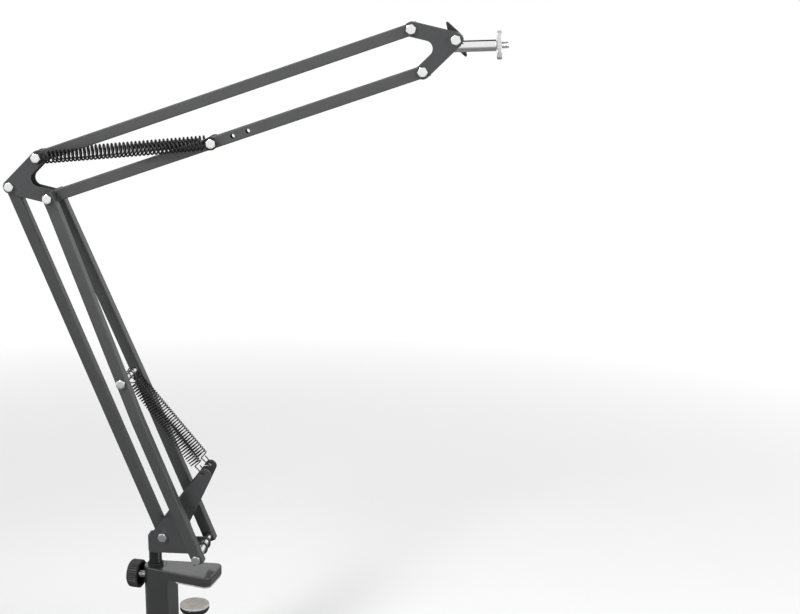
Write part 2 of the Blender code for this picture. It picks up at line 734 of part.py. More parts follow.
def spring_bolt(name, parent, at, inner):
    """A long bolt that carries a spring's eye on each side, outside a sleeve that starts at inner."""
    eye = WIRE_R + GAP
    bolted(name, parent, at.x, at.y, -UPPER_SPRING_Y - eye, UPPER_SPRING_Y + eye)
    sleeve(f"{name}_sleeve_near", parent, at.x, at.y, eye - UPPER_SPRING_Y, -inner, SPACER_R, ZINC)
    sleeve(f"{name}_sleeve_far", parent, at.x, at.y, inner, UPPER_SPRING_Y - eye, SPACER_R, ZINC)


def make_head(head):
    """The head's frame has its origin on the lower bar's pivot. Returns the camera mount's pivot."""
    rear_top = HUB_TO_LOBE_B - HUB_TO_LOBE_A
    hub = HUB_TO_LOBE_B
    corner_plates("head", head, hub, math.pi)
    bolted("head_lower", head, 0, 0, -PLATE_OUT, PLATE_OUT)
    bolted("head_top", head, rear_top.x, rear_top.y, -PLATE_OUT, PLATE_OUT)
    knob_end = PLATE_OUT + GAP + WING_HUB_LENGTH
    bolt("head_pivot_bolt", head, hub.x, hub.y, -PLATE_OUT - GAP, knob_end - 2 * BOLT_SPARE)
    return hub


def make_wing_knob(mount):
    tip = WING_SPAN / 2 - WING_TIP_R
    flank = 90 - math.degrees(math.asin((WING_HUB_R - WING_TIP_R) / tip))
    outline = []
    for side, start in ((1, -flank), (-1, 180 - flank)):
        outline += arc((side * tip, 0), WING_TIP_R, start, start + 2 * flank)
        outline += arc((0, 0), WING_HUB_R, start + 2 * flank, start + 180, 2)
    low = PLATE_OUT + GAP
    wings = prism("wing_knob", outline, low + WING_HUB_LENGTH - WING_THICK, low + WING_HUB_LENGTH)
    knob = place("wing_knob", wings, mount, BLACK_PLASTIC, turn=(0, -WING_TILT - math.radians(90), 0))
    hub = turned("wing_hub", [(low, WING_HUB_R), (low + WING_HUB_LENGTH + GAP, WING_HUB_R)])
    change(knob, place("wing_knob_hub", hub, mount, None, turn=ALONG_Y), "UNION")
    drill(knob, BOLT_R + GAP, low - TUBE, low + WING_HUB_LENGTH - BOLT_SPARE + GAP)


def make_mount(mount):
    """The chrome rod with its flat eye, the screw stud and the knurled ring. Local +X runs along the rod."""
    drop = -ROD_DROP
    eye = arc((0, 0), EYE_R, -30, 210, 2 * ARC)
    foot = [Vector((eye[-1].x, drop)), Vector((eye[0].x, drop))]
    body = prism("mount_rod", eye + foot, -TUBE_HALF, TUBE_HALF)
    rod = place("mount_rod", body, mount, CHROME)
    edge = ROD_R * 0.12
    rings = [(ROD_START, ROD_R * 0.8), (ROD_START + edge, ROD_R), (ROD_END - edge, ROD_R), (ROD_END, ROD_R - edge)]
    change(rod, place("mount_bar", turned("bar", rings), mount, None, (0, 0, drop), ALONG_X), "UNION")
    drill(rod, BOLT_R + HOLE_SLACK, -TUBE, TUBE)
    drill(rod, STUD_R + GAP, ROD_END - STUD_BURIED - GAP, ROD_END + TUBE, (0, 0, drop), ALONG_X)
    disc_low = ROD_END + GAP
    disc_high = disc_low + DISC_THICK
    stud_end = disc_high + STUD_PROUD
    bevel = STUD_R * 0.2
    rings = [(ROD_END - STUD_BURIED, STUD_R), (stud_end - bevel, STUD_R), (stud_end, STUD_R - bevel)]
    place("camera_stud", turned("camera_stud", rings), mount, CHROME, (0, 0, drop), ALONG_X)
    bore = STUD_R + GAP
    root = DISC_R - DISC_KNURL
    rings = [
        (disc_low, root - DISC_KNURL),
        (disc_low + DISC_KNURL, DISC_R, root),
        (disc_high - DISC_KNURL, DISC_R, root),
        (disc_high, root - DISC_KNURL),
        (disc_high, bore),
        (disc_low, bore),
    ]
    disc = turned("lock_disc", rings, 2 * KNURL_COUNT, hollow=True)
    place("lock_disc", disc, mount, CHROME, (0, 0, drop), ALONG_X)


def eye_points(across, wrap):
    """An eye in the spring's own XZ plane, round a pin at the origin: a rise at +across, a wrap and a straight end."""
    steps = 9
    points = []
    for i in range(steps + 1):
        angle = math.radians(wrap * i / steps)
        points.append(Vector((across * math.cos(angle), 0, across * math.sin(angle))))
    way = (points[-1] - points[-2]).normalized()
    points.append(points[-1] + way * 2 * WIRE_R)
    return points


def hook_points(half):
    """An open U in the spring's own YZ plane whose bend crosses the origin. It ends in a straight leg."""
    steps = 6
    points = []
    for i in range(steps + 1):
        angle = math.pi * i / steps
        points.append(Vector((0, -half * math.cos(angle), half * math.sin(angle) - half)))
    points.append(points[-1] - Vector((0, 0, 4 * WIRE_R)))
    return points


def spring_path(coil_r, curls, length, hook, low_end, high_end):
    """The whole wire from one end to the other. Each end is a list of points about its pin, first point inboard."""
    body = length - 2 * hook
    count = curls * CURL_POINTS
    coil = []
    for i in range(count + 1):
        angle = 2 * math.pi * i / CURL_POINTS
        coil.append(Vector((coil_r * math.cos(angle), coil_r * math.sin(angle), hook + body * i / count)))
    low = end_run(coil[0], coil[1], low_end)
    high = end_run(coil[-1], coil[-2], [Vector((p.x, p.y, length - p.z)) for p in high_end])
    return list(reversed(low)) + coil + high


def end_run(last, before, end):
    """The lead from a coil's last point to an end: a smooth curve that leaves along the wire and arrives square."""
    leave = (last - before).normalized()
    arrive = (end[1] - end[0]).normalized()
    span = (end[0] - last).length
    first = last + leave * span * 0.35
    second = end[0] - arrive * span * 0.45
    steps = 5
    run = []
    for i in range(1, steps):
        t = i / steps
        s = 1 - t
        run.append(last * s ** 3 + first * (3 * s * s * t) + second * (3 * s * t * t) + end[0] * t ** 3)
    return run + end


def least_gap(points, radius):
    """The least gap of a tube to itself: points closer along the wire than half a curl are its neighbours."""
    skip = CURL_POINTS // 2
    least = math.inf
    for i, one in enumerate(points):
        for two in points[i + skip + 1:]:
            least = min(least, (one - two).length)
    return least - 2 * radius


def make_spring(name, parent, start, end, y, settings, low_end, high_end):
    """One unbroken wire between two places in the parent's XZ plane, given as (x, z)."""
    coil_r, curls, hook = settings
    way = Vector((end.x - start.x, 0, end.y - start.y))
    length = way.length
    points = spring_path(coil_r, curls, length, hook, low_end, high_end)
    print(f"{name}: least gap to itself {least_gap(points, WIRE_R) / MM:.2f} mm")
    curve = bpy.data.curves.new(name, "CURVE")
    curve.dimensions = "3D"
    curve.fill_mode = "FULL"
    curve.bevel_depth = WIRE_R
    curve.bevel_resolution = 1
    curve.use_fill_caps = True
    spline = curve.splines.new("POLY")
    spline.points.add(len(points) - 1)
    for spot, point in zip(spline.points, points):
        spot.co = (*point, 1)
    lean = math.atan2(way.x, way.z)
    place(name, curve, parent, SPRING_STEEL, (start.x, y, start.y), (0, lean, 0))


def make_lower_springs(swivel, front):
    seat = front + EAR_SEAT
    along = Vector((-math.sin(LOWER_LEAN), math.cos(LOWER_LEAN)))
    pin = front + along * SPRING_PIN_AT
    hook = hook_points(PLATE / 2 + GAP + WIRE_R)
    eye = eye_points(BOLT_R + GAP + WIRE_R, 215)
    # A hook's points run from the bend, so its bend is turned to lie under the finger.
    low_end = [Vector((p.x, p.y, -p.z)) for p in hook]
    low_end = [low_end[0] + Vector((0, 0, 4 * WIRE_R))] + low_end
    high_end = [Vector((p.x, p.y, -p.z)) for p in eye]
    settings = (LOWER_COIL_R, LOWER_CURLS, LOWER_HOOK)
    for side, name in ((-1, "lower_spring_near"), (1, "lower_spring_far")):
        make_spring(name, swivel, seat, pin, side * EAR_MIDDLE, settings, low_end, high_end)


def make_upper_springs(elbow, top):
    along = Vector((math.cos(UPPER_RISE), math.sin(UPPER_RISE)))
    end = along * UPPER_SPRING_AT
    eye = [Vector((p.x, p.y, -p.z)) for p in eye_points(BOLT_R + GAP + WIRE_R, 215)]
    settings = (UPPER_COIL_R, UPPER_CURLS, UPPER_HOOK)
    for side, name in ((-1, "upper_spring_near"), (1, "upper_spring_far")):
        make_spring(name, elbow, top, end, side * UPPER_SPRING_Y, settings, eye, eye)


def main():
    clear_scene()
    front = POST_TO_FRONT
    rear = front + FRONT_TO_REAR

    clamp = pivot("clamp_place", None, (0, 0, 0), (0, 0, CLAMP_YAW))
    make_clamp(clamp)
    make_clamp_screw(clamp)
    make_lock_screw(clamp)

    swivel = pivot("post_swivel", None, (0, 0, 0))
    make_post(swivel, front)
    make_yoke(swivel, front)
    make_base_stack(swivel, front)

    lower_front = pivot("lower_arm_pivot", swivel, (front.x, 0, front.y), (0, -LOWER_LEAN, 0))
    make_lower_pair(lower_front)
    lower_rear = pivot("lower_rear_pivot", swivel, (rear.x, 0, rear.y), (0, -LOWER_LEAN, 0))
    straight_tube("lower_rear_tube", lower_rear, LOWER_ARM, PAINT_LOWER)
    make_lower_springs(swivel, front)

    elbow = pivot("elbow_pivot", lower_front, (0, 0, LOWER_ARM), (0, LOWER_LEAN, 0))
    elbow_top = make_elbow(elbow)
    upright = math.radians(90) - UPPER_RISE
    upper_lower = pivot("upper_arm_pivot", elbow, (0, 0, 0), (0, upright, 0))
    bar = straight_tube("upper_lower_bar", upper_lower, UPPER_ARM, PAINT_UPPER, SPARE_HOLES_AT[-1])
    for along in SPARE_HOLES_AT:
        drill_tube(bar, along, radius=SPARE_HOLE_R)
    drill_tube(bar, UPPER_SPRING_AT)
    spring_place = pivot("upper_spring_place", upper_lower, (0, 0, UPPER_SPRING_AT))
    spring_bolt("upper_spring", spring_place, Vector((0, 0)), PLATE_IN)
    upper_top = pivot("upper_top_pivot", elbow, (elbow_top.x, 0, elbow_top.y), (0, upright, 0))
    straight_tube("upper_top_bar", upper_top, UPPER_ARM, PAINT_UPPER)
    make_upper_springs(elbow, elbow_top)

    head = pivot("head_pivot", upper_lower, (0, 0, UPPER_ARM), (0, -upright, 0))
    hub = make_head(head)
    knob = pivot("wing_knob_turn", head, (hub.x, 0, hub.y))
    make_wing_knob(knob)
    mount = pivot("mount_tilt", head, (hub.x, 0, hub.y), (0, -MOUNT_RISE, 0))
    make_mount(mount)


main()
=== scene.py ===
"""Dresses the model of a clamp-on overhead arm: finished pieces, their materials and a studio stage.

Lengths are metres in the model's own frame. The origin is on the swivel post's axis, level with the underside
of the upper jaw's pad. The arm lies in the XZ plane, near is -Y and far is +Y.
"""

import json
import math

import bmesh
import bpy
from mathutils import Matrix, Vector


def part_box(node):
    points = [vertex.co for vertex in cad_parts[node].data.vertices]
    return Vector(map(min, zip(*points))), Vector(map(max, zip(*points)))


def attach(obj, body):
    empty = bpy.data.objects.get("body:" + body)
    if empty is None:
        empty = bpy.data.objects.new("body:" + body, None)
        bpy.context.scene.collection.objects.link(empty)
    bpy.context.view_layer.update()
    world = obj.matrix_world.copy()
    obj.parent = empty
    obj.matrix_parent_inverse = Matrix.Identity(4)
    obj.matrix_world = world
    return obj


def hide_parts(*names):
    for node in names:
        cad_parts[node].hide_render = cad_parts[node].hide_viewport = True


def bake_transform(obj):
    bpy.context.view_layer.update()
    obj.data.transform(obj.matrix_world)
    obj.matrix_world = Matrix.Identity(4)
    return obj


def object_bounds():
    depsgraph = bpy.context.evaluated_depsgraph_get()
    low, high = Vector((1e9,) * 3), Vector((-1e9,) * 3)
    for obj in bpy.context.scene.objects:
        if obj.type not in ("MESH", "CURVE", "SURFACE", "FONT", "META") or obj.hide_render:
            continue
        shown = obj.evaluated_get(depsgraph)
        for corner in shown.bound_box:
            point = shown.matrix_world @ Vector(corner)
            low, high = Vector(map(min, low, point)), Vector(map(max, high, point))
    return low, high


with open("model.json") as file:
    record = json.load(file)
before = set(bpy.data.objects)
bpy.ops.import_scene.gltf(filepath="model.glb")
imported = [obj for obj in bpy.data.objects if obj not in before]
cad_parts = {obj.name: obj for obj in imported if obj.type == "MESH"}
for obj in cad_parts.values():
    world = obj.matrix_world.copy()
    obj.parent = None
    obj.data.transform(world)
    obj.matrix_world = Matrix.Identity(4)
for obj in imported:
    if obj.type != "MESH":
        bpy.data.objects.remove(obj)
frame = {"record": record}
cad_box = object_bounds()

bl_info = {
    "name": "Camera Arm Dressing",
    "version": (1, 0, 0),
    "blender": (4, 5, 0),
    "location": "3D View > Sidebar > Camera Arm",
    "description": "Finished pieces, materials and a stage for a clamp-on overhead arm",
    "category": "Object",
}

MM = 0.001
FULL_TURN = 2 * math.pi
SIXTH = math.pi / 3

# Steps on round pieces, and the angles from which an edge is rounded or shaded sharp
ROUND = 64
SMALL_ROUND = 32
HEX_SIDES = 48
THREAD_STEPS = 6
ROUNDED_FROM = math.radians(35)
SHARP_FROM = math.radians(40)

record = frame["record"]
JOINTS = {joint["name"]: joint for joint in record["behaviour"]["joints"]}
BODY_OF = {node: body for body, nodes in record["behaviour"]["bodies"].items() for node in nodes}
SLOT_OF = {part["node"]: part["material_slot"] for part in record["subparts"]}


def joint_point(name):
    return Vector(JOINTS[name]["pos_m"])


def low_of(node):
    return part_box(node)[0]


def high_of(node):
    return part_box(node)[1]


def size_of(node):
    return high_of(node) - low_of(node)


def middle_of(node):
    return (low_of(node) + high_of(node)) / 2


def levels(node):
    """The heights of the node's bottom and top."""
    return low_of(node).z, high_of(node).z


# Pivots
FRONT = joint_point("lower_arm")
REAR = joint_point("lower_rear_pivot")
ELBOW = joint_point("elbow_level")
ELBOW_TOP = joint_point("upper_top_pivot")
ELBOW_REAR = ELBOW + REAR - FRONT
HEAD_LOW = joint_point("head_level")
HEAD_HUB = joint_point("mount_tilt")
LOWER_WAY = (ELBOW - FRONT).normalized()
UPPER_WAY = (HEAD_LOW - ELBOW).normalized()
LOWER_ARM = (ELBOW - FRONT).length
UPPER_ARM = (HEAD_LOW - ELBOW).length
ROD_WAY = Vector(JOINTS["lock_disc_turn"]["axis"]).normalized()
CLAMP_WAY = Vector(JOINTS["lock_screw_turn"]["axis"]).normalized()
CLAMP_YAW = math.atan2(CLAMP_WAY.y, CLAMP_WAY.x)

# Tube and plates
TUBE = size_of("lower_rear_tube").y
TUBE_HALF = TUBE / 2
TUBE_END = 5.4 * MM
TUBE_EASE = 0.2 * MM
ELBOW_STRAIGHT = 12.0 * MM
PLATE_IN = low_of("elbow_plate_far").y
PLATE_OUT = high_of("elbow_plate_far").y
PLATE = PLATE_OUT - PLATE_IN
GAP = PLATE_IN - TUBE_HALF
HOLE_R = 2.85 * MM
SPARE_HOLES_AT = (175.8 * MM, 190.3 * MM)
SPARE_HOLE_R = 2.1 * MM

# Fasteners
BOLT_R = 2.5 * MM
BOLT_FLATS = 7.9 * MM
BOLT_HEAD = 3.5 * MM
BOLT_PITCH = 0.8 * MM
BOLT_POINT = 0.35 * MM
BOLT_THREAD = 9.0 * MM
HEAD_EASE = 0.12 * MM
HEAD_FACE = 0.35 * MM
NUT_BORE_R = BOLT_R + 0.12 * MM
BOLT_TURN = math.radians(17)
NUT_TURN = 0.4
SPACER_R = 3.3 * MM
BASE_SPACER_R = 3.6 * MM
WASHER_R = 4.6 * MM

# Clamp
JAW_LOW = 1.7 * MM
JAW_TOP = high_of("clamp_frame").z
JAW_BOTTOM = low_of("clamp_frame").z
CLAMP_END_R = 11.0 * MM
CLAMP_REACH = 62.0 * MM
CLAMP_TIP_HALF = 19.0 * MM
CLAMP_TIP_CORNER = 6.0 * MM
SPINE_FACE = 17.0 * MM
LOWER_JAW_REACH = 53.0 * MM
LOWER_JAW_TOP = JAW_LOW - 62.0 * MM
PAD_BACK = 24.0 * MM
PAD_INSET = 0.4 * MM
PAD_CORNER = 5.6 * MM
PAD_EDGE = 0.35 * MM
THROAT_CORNER = 1.6 * MM
GROOVE_R = 10.5 * MM
GROOVE = 0.6 * MM
GROOVE_END = 41

# Post and bush
POST_R = 6.15 * MM
POST_NECK_R = 5.4 * MM
POST_NECK_HALF = 4.0 * MM
BUSH_R = 7.0 * MM
BUSH_FLANGE_R = 7.4 * MM
BUSH_FLANGE = 2.5 * MM

# Clamp screw and lock screw. A crown is a knob's closed end as (share of its radius, height in mm) pairs.
CLAMP_SCREW_X = 39.0 * MM
CLAMP_SCREW_R = 5.0 * MM
CLAMP_SCREW_PITCH = 3.0 * MM
CLAMP_SCREW_TIP = 5.0 * MM
PRESSURE_PAD_R = 14.0 * MM
PRESSURE_PAD_RIM = 5.0 * MM
CLAMP_KNOB_R = 16.0 * MM
CLAMP_KNOB_RIB = 0.8 * MM
CLAMP_KNOB_CROWN = ((0.55, 0.8), (0.62, 0.1), (0.78, 0.0), (0.90, 0.9))
LOCK_Z = joint_point("lock_screw_turn").z
LOCK_SCREW_R = 3.0 * MM
LOCK_SCREW_PITCH = 1.0 * MM
LOCK_SCREW_POINT = 0.7 * MM
LOCK_SCREW_END = -5.7 * MM
LOCK_KNOB_R = 13.5 * MM
LOCK_KNOB_THICK = 11.5 * MM
LOCK_KNOB_MOUTH = -14.9 * MM
LOCK_KNOB_HOLLOW = 7.5 * MM
LOCK_KNOB_HUB = 2.5 * MM
LOCK_KNOB_HUB_R = 6.5 * MM
LOCK_KNOB_WALL = 1.8 * MM
LOCK_KNOB_RIB = 0.55 * MM
LOCK_KNOB_CROWN = ((0.55, 0.7), (0.60, 0.1), (0.80, 0.0), (0.90, 0.5))

# Yoke, each place counted from the front pivot as (x, z)
YOKE_BACK = -53.4 * MM
YOKE_LOW = -7.4 * MM
YOKE_LOBE_R = 4.6 * MM
YOKE_HEEL_R = 5.0 * MM
YOKE_WEB_LOW = -5.2 * MM
YOKE_WEB_TOP = 9.0 * MM
YOKE_WEB_LIP = 2.6 * MM
YOKE_CHAMFER = 2.4 * MM
YOKE_BEND_R = 0.5 * MM
YOKE_WAIST = Vector((-11.0, 4.6)) * MM
YOKE_WAIST_R = 2.0 * MM
YOKE_WAIST_END = Vector((-15.0, 19.5)) * MM
YOKE_SHOULDER = Vector((-46.8, 15.2)) * MM
EAR_BACK = Vector((-2.5, 72.8)) * MM
EAR_FRONT = Vector((-0.7, 49.0)) * MM
EAR_TIP = Vector((5.2, 74.6)) * MM
EAR_TIP_R = 5.6 * MM
EAR_SEAT = Vector((4.4, 75.6)) * MM
EAR_SEAT_R = 1.25 * MM
EAR_SLOT = 2.2 * MM
EAR_FLARE = 7.0 * MM
EAR_BEND_LOW = 27.0 * MM
EAR_BEND_HIGH = 45.0 * MM
EAR_BEND_STEPS = 10

# Corner plates
LOBE_R = ELBOW_REAR.x - low_of("elbow_plate_near").x
CROTCH_R = 6.9 * MM

# Springs. A bend is its turn from the spring's axis, and its length.
SPRING_PIN_AT = 179.4 * MM
UPPER_SPRING_AT = 157.2 * MM
UPPER_SPRING_Y = 12.0 * MM
LOWER_COIL_R = 5.2 * MM
UPPER_COIL_R = 5.15 * MM
LONG_HOOK = 11.5 * MM
SHORT_HOOK = 8.5 * MM
EYE_SHIFT = 1.0 * MM
LOWER_BEND = (math.radians(40), 61.0 * MM)
UPPER_BEND = (math.radians(-30), 48.7 * MM)
CURL_POINTS = 16
LEAD_POINTS = 10

# Wing knob and mount
WING_HUB_R = 6.0 * MM
WING_HUB_LENGTH = 9.0 * MM
WING_SPAN = 34.4 * MM
WING_THICK = 5.0 * MM
WING_TIP_R = 1.1 * MM
WING_CAP = 1.2 * MM
WING_TILT = math.radians(30.8)
ROD_R = 5.0 * MM
ROD_DROP = 5.6 * MM
ROD_START = -4.5 * MM
ROD_END = 34.4 * MM
EYE_R = 6.2 * MM
STUD_R = 3.1 * MM
STUD_PITCH = 1.27 * MM
STUD_HOLE = 10.0 * MM
STUD_ROOT = 9.5 * MM
STUD_PROUD = 6.0 * MM
STUD_POINT = 0.5 * MM
DISC_R = 12.2 * MM
DISC_THICK = 4.4 * MM
DISC_BEVEL = 0.6 * MM
KNURL = 0.4 * MM

# Stage
VIEW_PLACE = (0.31281, -1.22841, 0.55468)
VIEW_DOWN = math.radians(13.51)
VIEW_LEFT = math.radians(5.99)
SENSOR = 36
LENS = 63
LENS_SHIFT = (0.0675, 0.015)
FLOOR_R = 6
FLOOR_FADE = (0.5, 1.4)
# Painted reflection: how far near and behind the arm reflections show the floor as a dark grey.
PAINTED_FLOOR_REFLECTION_AWAY = (0.5, 2.2)
PAINTED_FLOOR_REFLECTION_BEHIND = (0.1, 1.0)
# Painted reflection: where the dark patch that only reflections show lies, behind and above the arm.
PAINTED_DARK_REFLECTION_BACK = (0.0, 0.12)
PAINTED_DARK_REFLECTION_UP = (0.4, 0.6)
WHITE = (1, 1, 1)
# Painted reflection: the dark grey that reflections show on the floor near and behind the arm.
PAINTED_FLOOR_REFLECTION = (0.22, 0.22, 0.225)
# Painted reflection: colour of the dark patch that only reflections show.
PAINTED_DARK_REFLECTION = (0.05, 0.05, 0.055)
STUDIO_LIGHT = 0.27
LAMP_AIM = Vector((0.1, 0, 0.3))

ALONG_X = Matrix.Rotation(math.radians(90), 4, "Y")
ALONG_Y = Matrix.Rotation(math.radians(-90), 4, "X")
ALONG_LOCK = Matrix.Translation((0, 0, LOCK_Z)) @ ALONG_X
ALONG_ROD = Matrix.Translation((0, 0, -ROD_DROP)) @ ALONG_X


def length_property(name, description, default):
    return bpy.props.FloatProperty(name=name, description=description, default=default, min=0, unit="LENGTH")


def count_property(name, description, default, low, high):
    return bpy.props.IntProperty(name=name, description=description, default=default, min=low, max=high)


def colour_property(name, description, default):
    return bpy.props.FloatVectorProperty(
        name=name, description=description, default=default, min=0, max=1, size=3, subtype="COLOR"
    )


class CameraArmSizes(bpy.types.PropertyGroup):
    """Sizes that the model leaves open. Everything else is drawn to it."""

    tube_wall: length_property("Tube wall", "Wall of the square tubes", 1.2 * MM)
    tube_corner: length_property("Tube corner", "Outside corner radius of the square tubes", 1.0 * MM)
    bend_height: length_property("Bend height", "Where the front bars turn inwards", 141.0 * MM)
    bend_radius: length_property("Bend radius", "Radius of the bends in the front bars", 40.0 * MM)
    plate_edge: length_property("Plate edge", "Rounding on the edges of sheet pieces", 0.3 * MM)
    cast_edge: length_property("Cast edge", "Rounding on the clamp's edges", 1.1 * MM)
    lower_wire: length_property("Lower wire", "Radius of the lower springs' wire", 0.55 * MM)
    upper_wire: length_property("Upper wire", "Radius of the upper springs' wire", 0.85 * MM)
    lower_curls: count_property("Lower curls", "Turns in each lower spring", 36, 8, 60)
    upper_curls: count_property("Upper curls", "Turns in each upper spring", 38, 8, 70)
    knob_ribs: count_property("Knob ribs", "Ribs round each round knob", 36, 8, 60)
    knurl_teeth: count_property("Knurl teeth", "Teeth round the knurled ring", 60, 12, 120)


class CameraArmColours(bpy.types.PropertyGroup):
    """Base colours of the finishes."""

    # The lower and upper paint are one powder coat. The upper paint's lighter colour is painted light, for
    # the stronger light on the upper tubes.
    lower_paint: colour_property("Lower paint", "Powder coat on the lower tubes", (0.050, 0.051, 0.052))
    upper_paint: colour_property("Upper paint", "Powder coat on the upper tubes", (0.070, 0.071, 0.073))
    plate_paint: colour_property("Plate paint", "Powder coat on the sheet pieces", (0.050, 0.051, 0.053))
    clamp_paint: colour_property("Clamp paint", "Paint on the cast clamp", (0.024, 0.025, 0.026))
    plastic: colour_property("Plastic", "Moulded knobs and the post's bush", (0.014, 0.014, 0.015))
    black_steel: colour_property("Black steel", "Post, washers and pressure pad", (0.006, 0.006, 0.0065))
    spring_steel: colour_property("Spring steel", "Blackened spring wire", (0.022, 0.021, 0.021))
    zinc: colour_property("Zinc", "Plated bolts, nuts and sleeves", (0.84, 0.84, 0.83))
    chrome: colour_property("Chrome", "Rod, ring and stud", (0.84, 0.84, 0.85))
    pad: colour_property("Pad", "Rubber faces of the clamp", (0.60, 0.58, 0.54))
    stage: colour_property("Stage", "Floor", (0.82, 0.82, 0.82))


def math_operator(name, reflected=False):
    """An operator of Value that adds one Math node. Reflected, it takes what stands on the value's left."""

    def apply(self, other):
        first, second = (other, self) if reflected else (self, other)
        return self.nodes.maths(name, first, second)

    return apply


class Value:
    """A node socket that takes part in Python expressions."""

    def __init__(self, nodes, socket):
        self.nodes = nodes
        self.socket = socket

    __add__ = math_operator("ADD")
    __radd__ = math_operator("ADD", reflected=True)
    __sub__ = math_operator("SUBTRACT")
    __rsub__ = math_operator("SUBTRACT", reflected=True)
    __mul__ = math_operator("MULTIPLY")
    __rmul__ = math_operator("MULTIPLY", reflected=True)


class Nodes:
    """A node tree that is written from Python. add() makes any node and returns one of its outputs."""

    def __init__(self, tree):
        self.tree = tree

    def add(self, kind, settings=None, inputs=None, output=0):
        node = self.tree.nodes.new(kind)
        for name, setting in (settings or {}).items():
            setattr(node, name, setting)
        for name, value in (inputs or {}).items():
            self.feed(node.inputs[name], value)
        return Value(self, node.outputs[output])

    def feed(self, socket, value):
        if isinstance(value, Value):
            self.tree.links.new(value.socket, socket)
        elif socket.type == "RGBA" and len(value) == 3:
            socket.default_value = (*value, 1)
        else:
            socket.default_value = value

    def maths(self, operation, first, second, clamp=False):
        settings = {"operation": operation, "use_clamp": clamp}
        return self.add("ShaderNodeMath", settings, {0: first, 1: second})

    def clamp(self, value):
        return self.maths("ADD", value, 0.0, clamp=True)

    def place(self, stretch=None):
        """Places on the piece, counted from its own origin, and stretched by a factor along each axis."""
        spots = self.add("ShaderNodeTexCoord", output="Object")
        if stretch is None:
            return spots
        return self.add("ShaderNodeVectorMath", {"operation": "MULTIPLY"}, {0: spots, 1: stretch})

    def noise(self, spots, scale, detail, roughness=0.5):
        inputs = {"Vector": spots, "Scale": scale, "Detail": detail, "Roughness": roughness}
        return self.add("ShaderNodeTexNoise", None, inputs)

    def between(self, value, low, high):
        """0 below low, 1 above high and straight between them."""
        inputs = {"Value": value, "From Min": low, "From Max": high}
        return self.add("ShaderNodeMapRange", {"clamp": True}, inputs)

    def tint(self, factor, first, second):
        """The first colour at factor 0 and the second at 1."""
        return self.add("ShaderNodeMix", {"data_type": "RGBA"}, {0: factor, 6: first, 7: second}, 2)

    def bump(self, height, depth, strength):
        inputs = {"Height": height, "Distance": depth, "Strength": strength}
        return self.add("ShaderNodeBump", None, inputs)

    def edges(self, reach):
        """1 along edges and 0 on open faces."""
        rounded_normal = self.add("ShaderNodeBevel", {"samples": 4}, {"Radius": reach})
        normal = self.add("ShaderNodeNewGeometry", output="Normal")
        along = self.add(
            "ShaderNodeVectorMath", {"operation": "DOT_PRODUCT"}, {0: rounded_normal, 1: normal}, "Value"
        )
        return self.between(1 - along, 0.02, 0.2)

    def rays(self):
        """1 for a ray from the camera, and 1 for one that a polished or clear surface sends on."""
        path = self.tree.nodes.new("ShaderNodeLightPath")
        kinds = ("Is Camera Ray", "Is Glossy Ray", "Is Transmission Ray")
        camera, glossy, clear = (Value(self, path.outputs[kind]) for kind in kinds)
        return camera, self.clamp(glossy + clear) * (1 - camera)


def shades(colour, dark, light):
    """The colour darkened and lightened by two factors."""
    return [tuple(min(c * factor, 1) for c in colour) for factor in (dark, light)]


def pale(colour, factor, lift):
    return tuple(c * factor + lift for c in colour)


class Finish(Nodes):
    """A material on one Principled shader. Constants are set on the shader's own sockets."""

    def __init__(self, name, constants):
        self.material = bpy.data.materials.new(name)
        self.material.use_nodes = True
        super().__init__(self.material.node_tree)
        self.shader = self.tree.nodes["Principled BSDF"]
        for socket, value in constants.items():
            self.feed(self.shader.inputs[socket], value)

    def shaded(self, factor, colour, dark, light):
        """The colour, darkened where the factor is 0 and lightened where it is 1."""
        return self.tint(factor, *shades(colour, dark, light))

    def wear(self, **looks):
        """Feeds what changes over the surface, such as base_color=..., to the shader."""
        for name, value in looks.items():
            self.feed(self.shader.inputs[name.replace("_", " ").title()], value)
        return self.material


def powder_coat(name, colour):
    """Satin powder coat: fine orange peel, faint mottling, a little dust and slightly paler edges."""
    coat = Finish(name, {"Specular IOR Level": 0.42, "Coat Roughness": 0.35})
    spots = coat.place()
    mottle = coat.noise(spots, 55, 3)
    peel = coat.noise(spots, 950, 2)
    grain = coat.noise(spots, 4200, 1)
    specks = coat.between(coat.noise(spots, 2300, 0), 0.70, 0.78)
    edge = coat.edges(0.45 * MM)
    base = coat.shaded(mottle, colour, 0.88, 1.12)
    return coat.wear(
        base_color=coat.tint(edge * 0.35 + specks * 0.12, base, pale(colour, 1.6, 0.02)),
        roughness=0.36 + 0.10 * mottle + 0.10 * grain - 0.08 * edge,
        coat_weight=0.10 + 0.10 * mottle,
        normal=coat.bump(peel + 0.35 * grain, 0.05 * MM, 0.35),
    )


def cast_paint(name, colour):
    """Satin paint over a casting: the coarse skin of the casting shows through, and edges are rubbed."""
    paint = Finish(name, {"Specular IOR Level": 0.6, "Coat Roughness": 0.12})
    spots = paint.place()
    skin = paint.noise(spots, 420, 4, 0.6)
    mottle = paint.noise(spots, 40, 3)
    pits = paint.between(paint.noise(spots, 1500, 1), 0.30, 0.42)
    edge = paint.edges(0.7 * MM)
    base = paint.shaded(mottle, colour, 0.85, 1.15)
    return paint.wear(
        base_color=paint.tint(edge * 0.3, base, pale(colour, 1.7, 0.02)),
        roughness=0.30 + 0.14 * skin + 0.08 * mottle,
        coat_weight=0.75 + 0.25 * mottle,
        normal=paint.bump(skin + 0.2 * pits, 0.12 * MM, 0.4),
    )


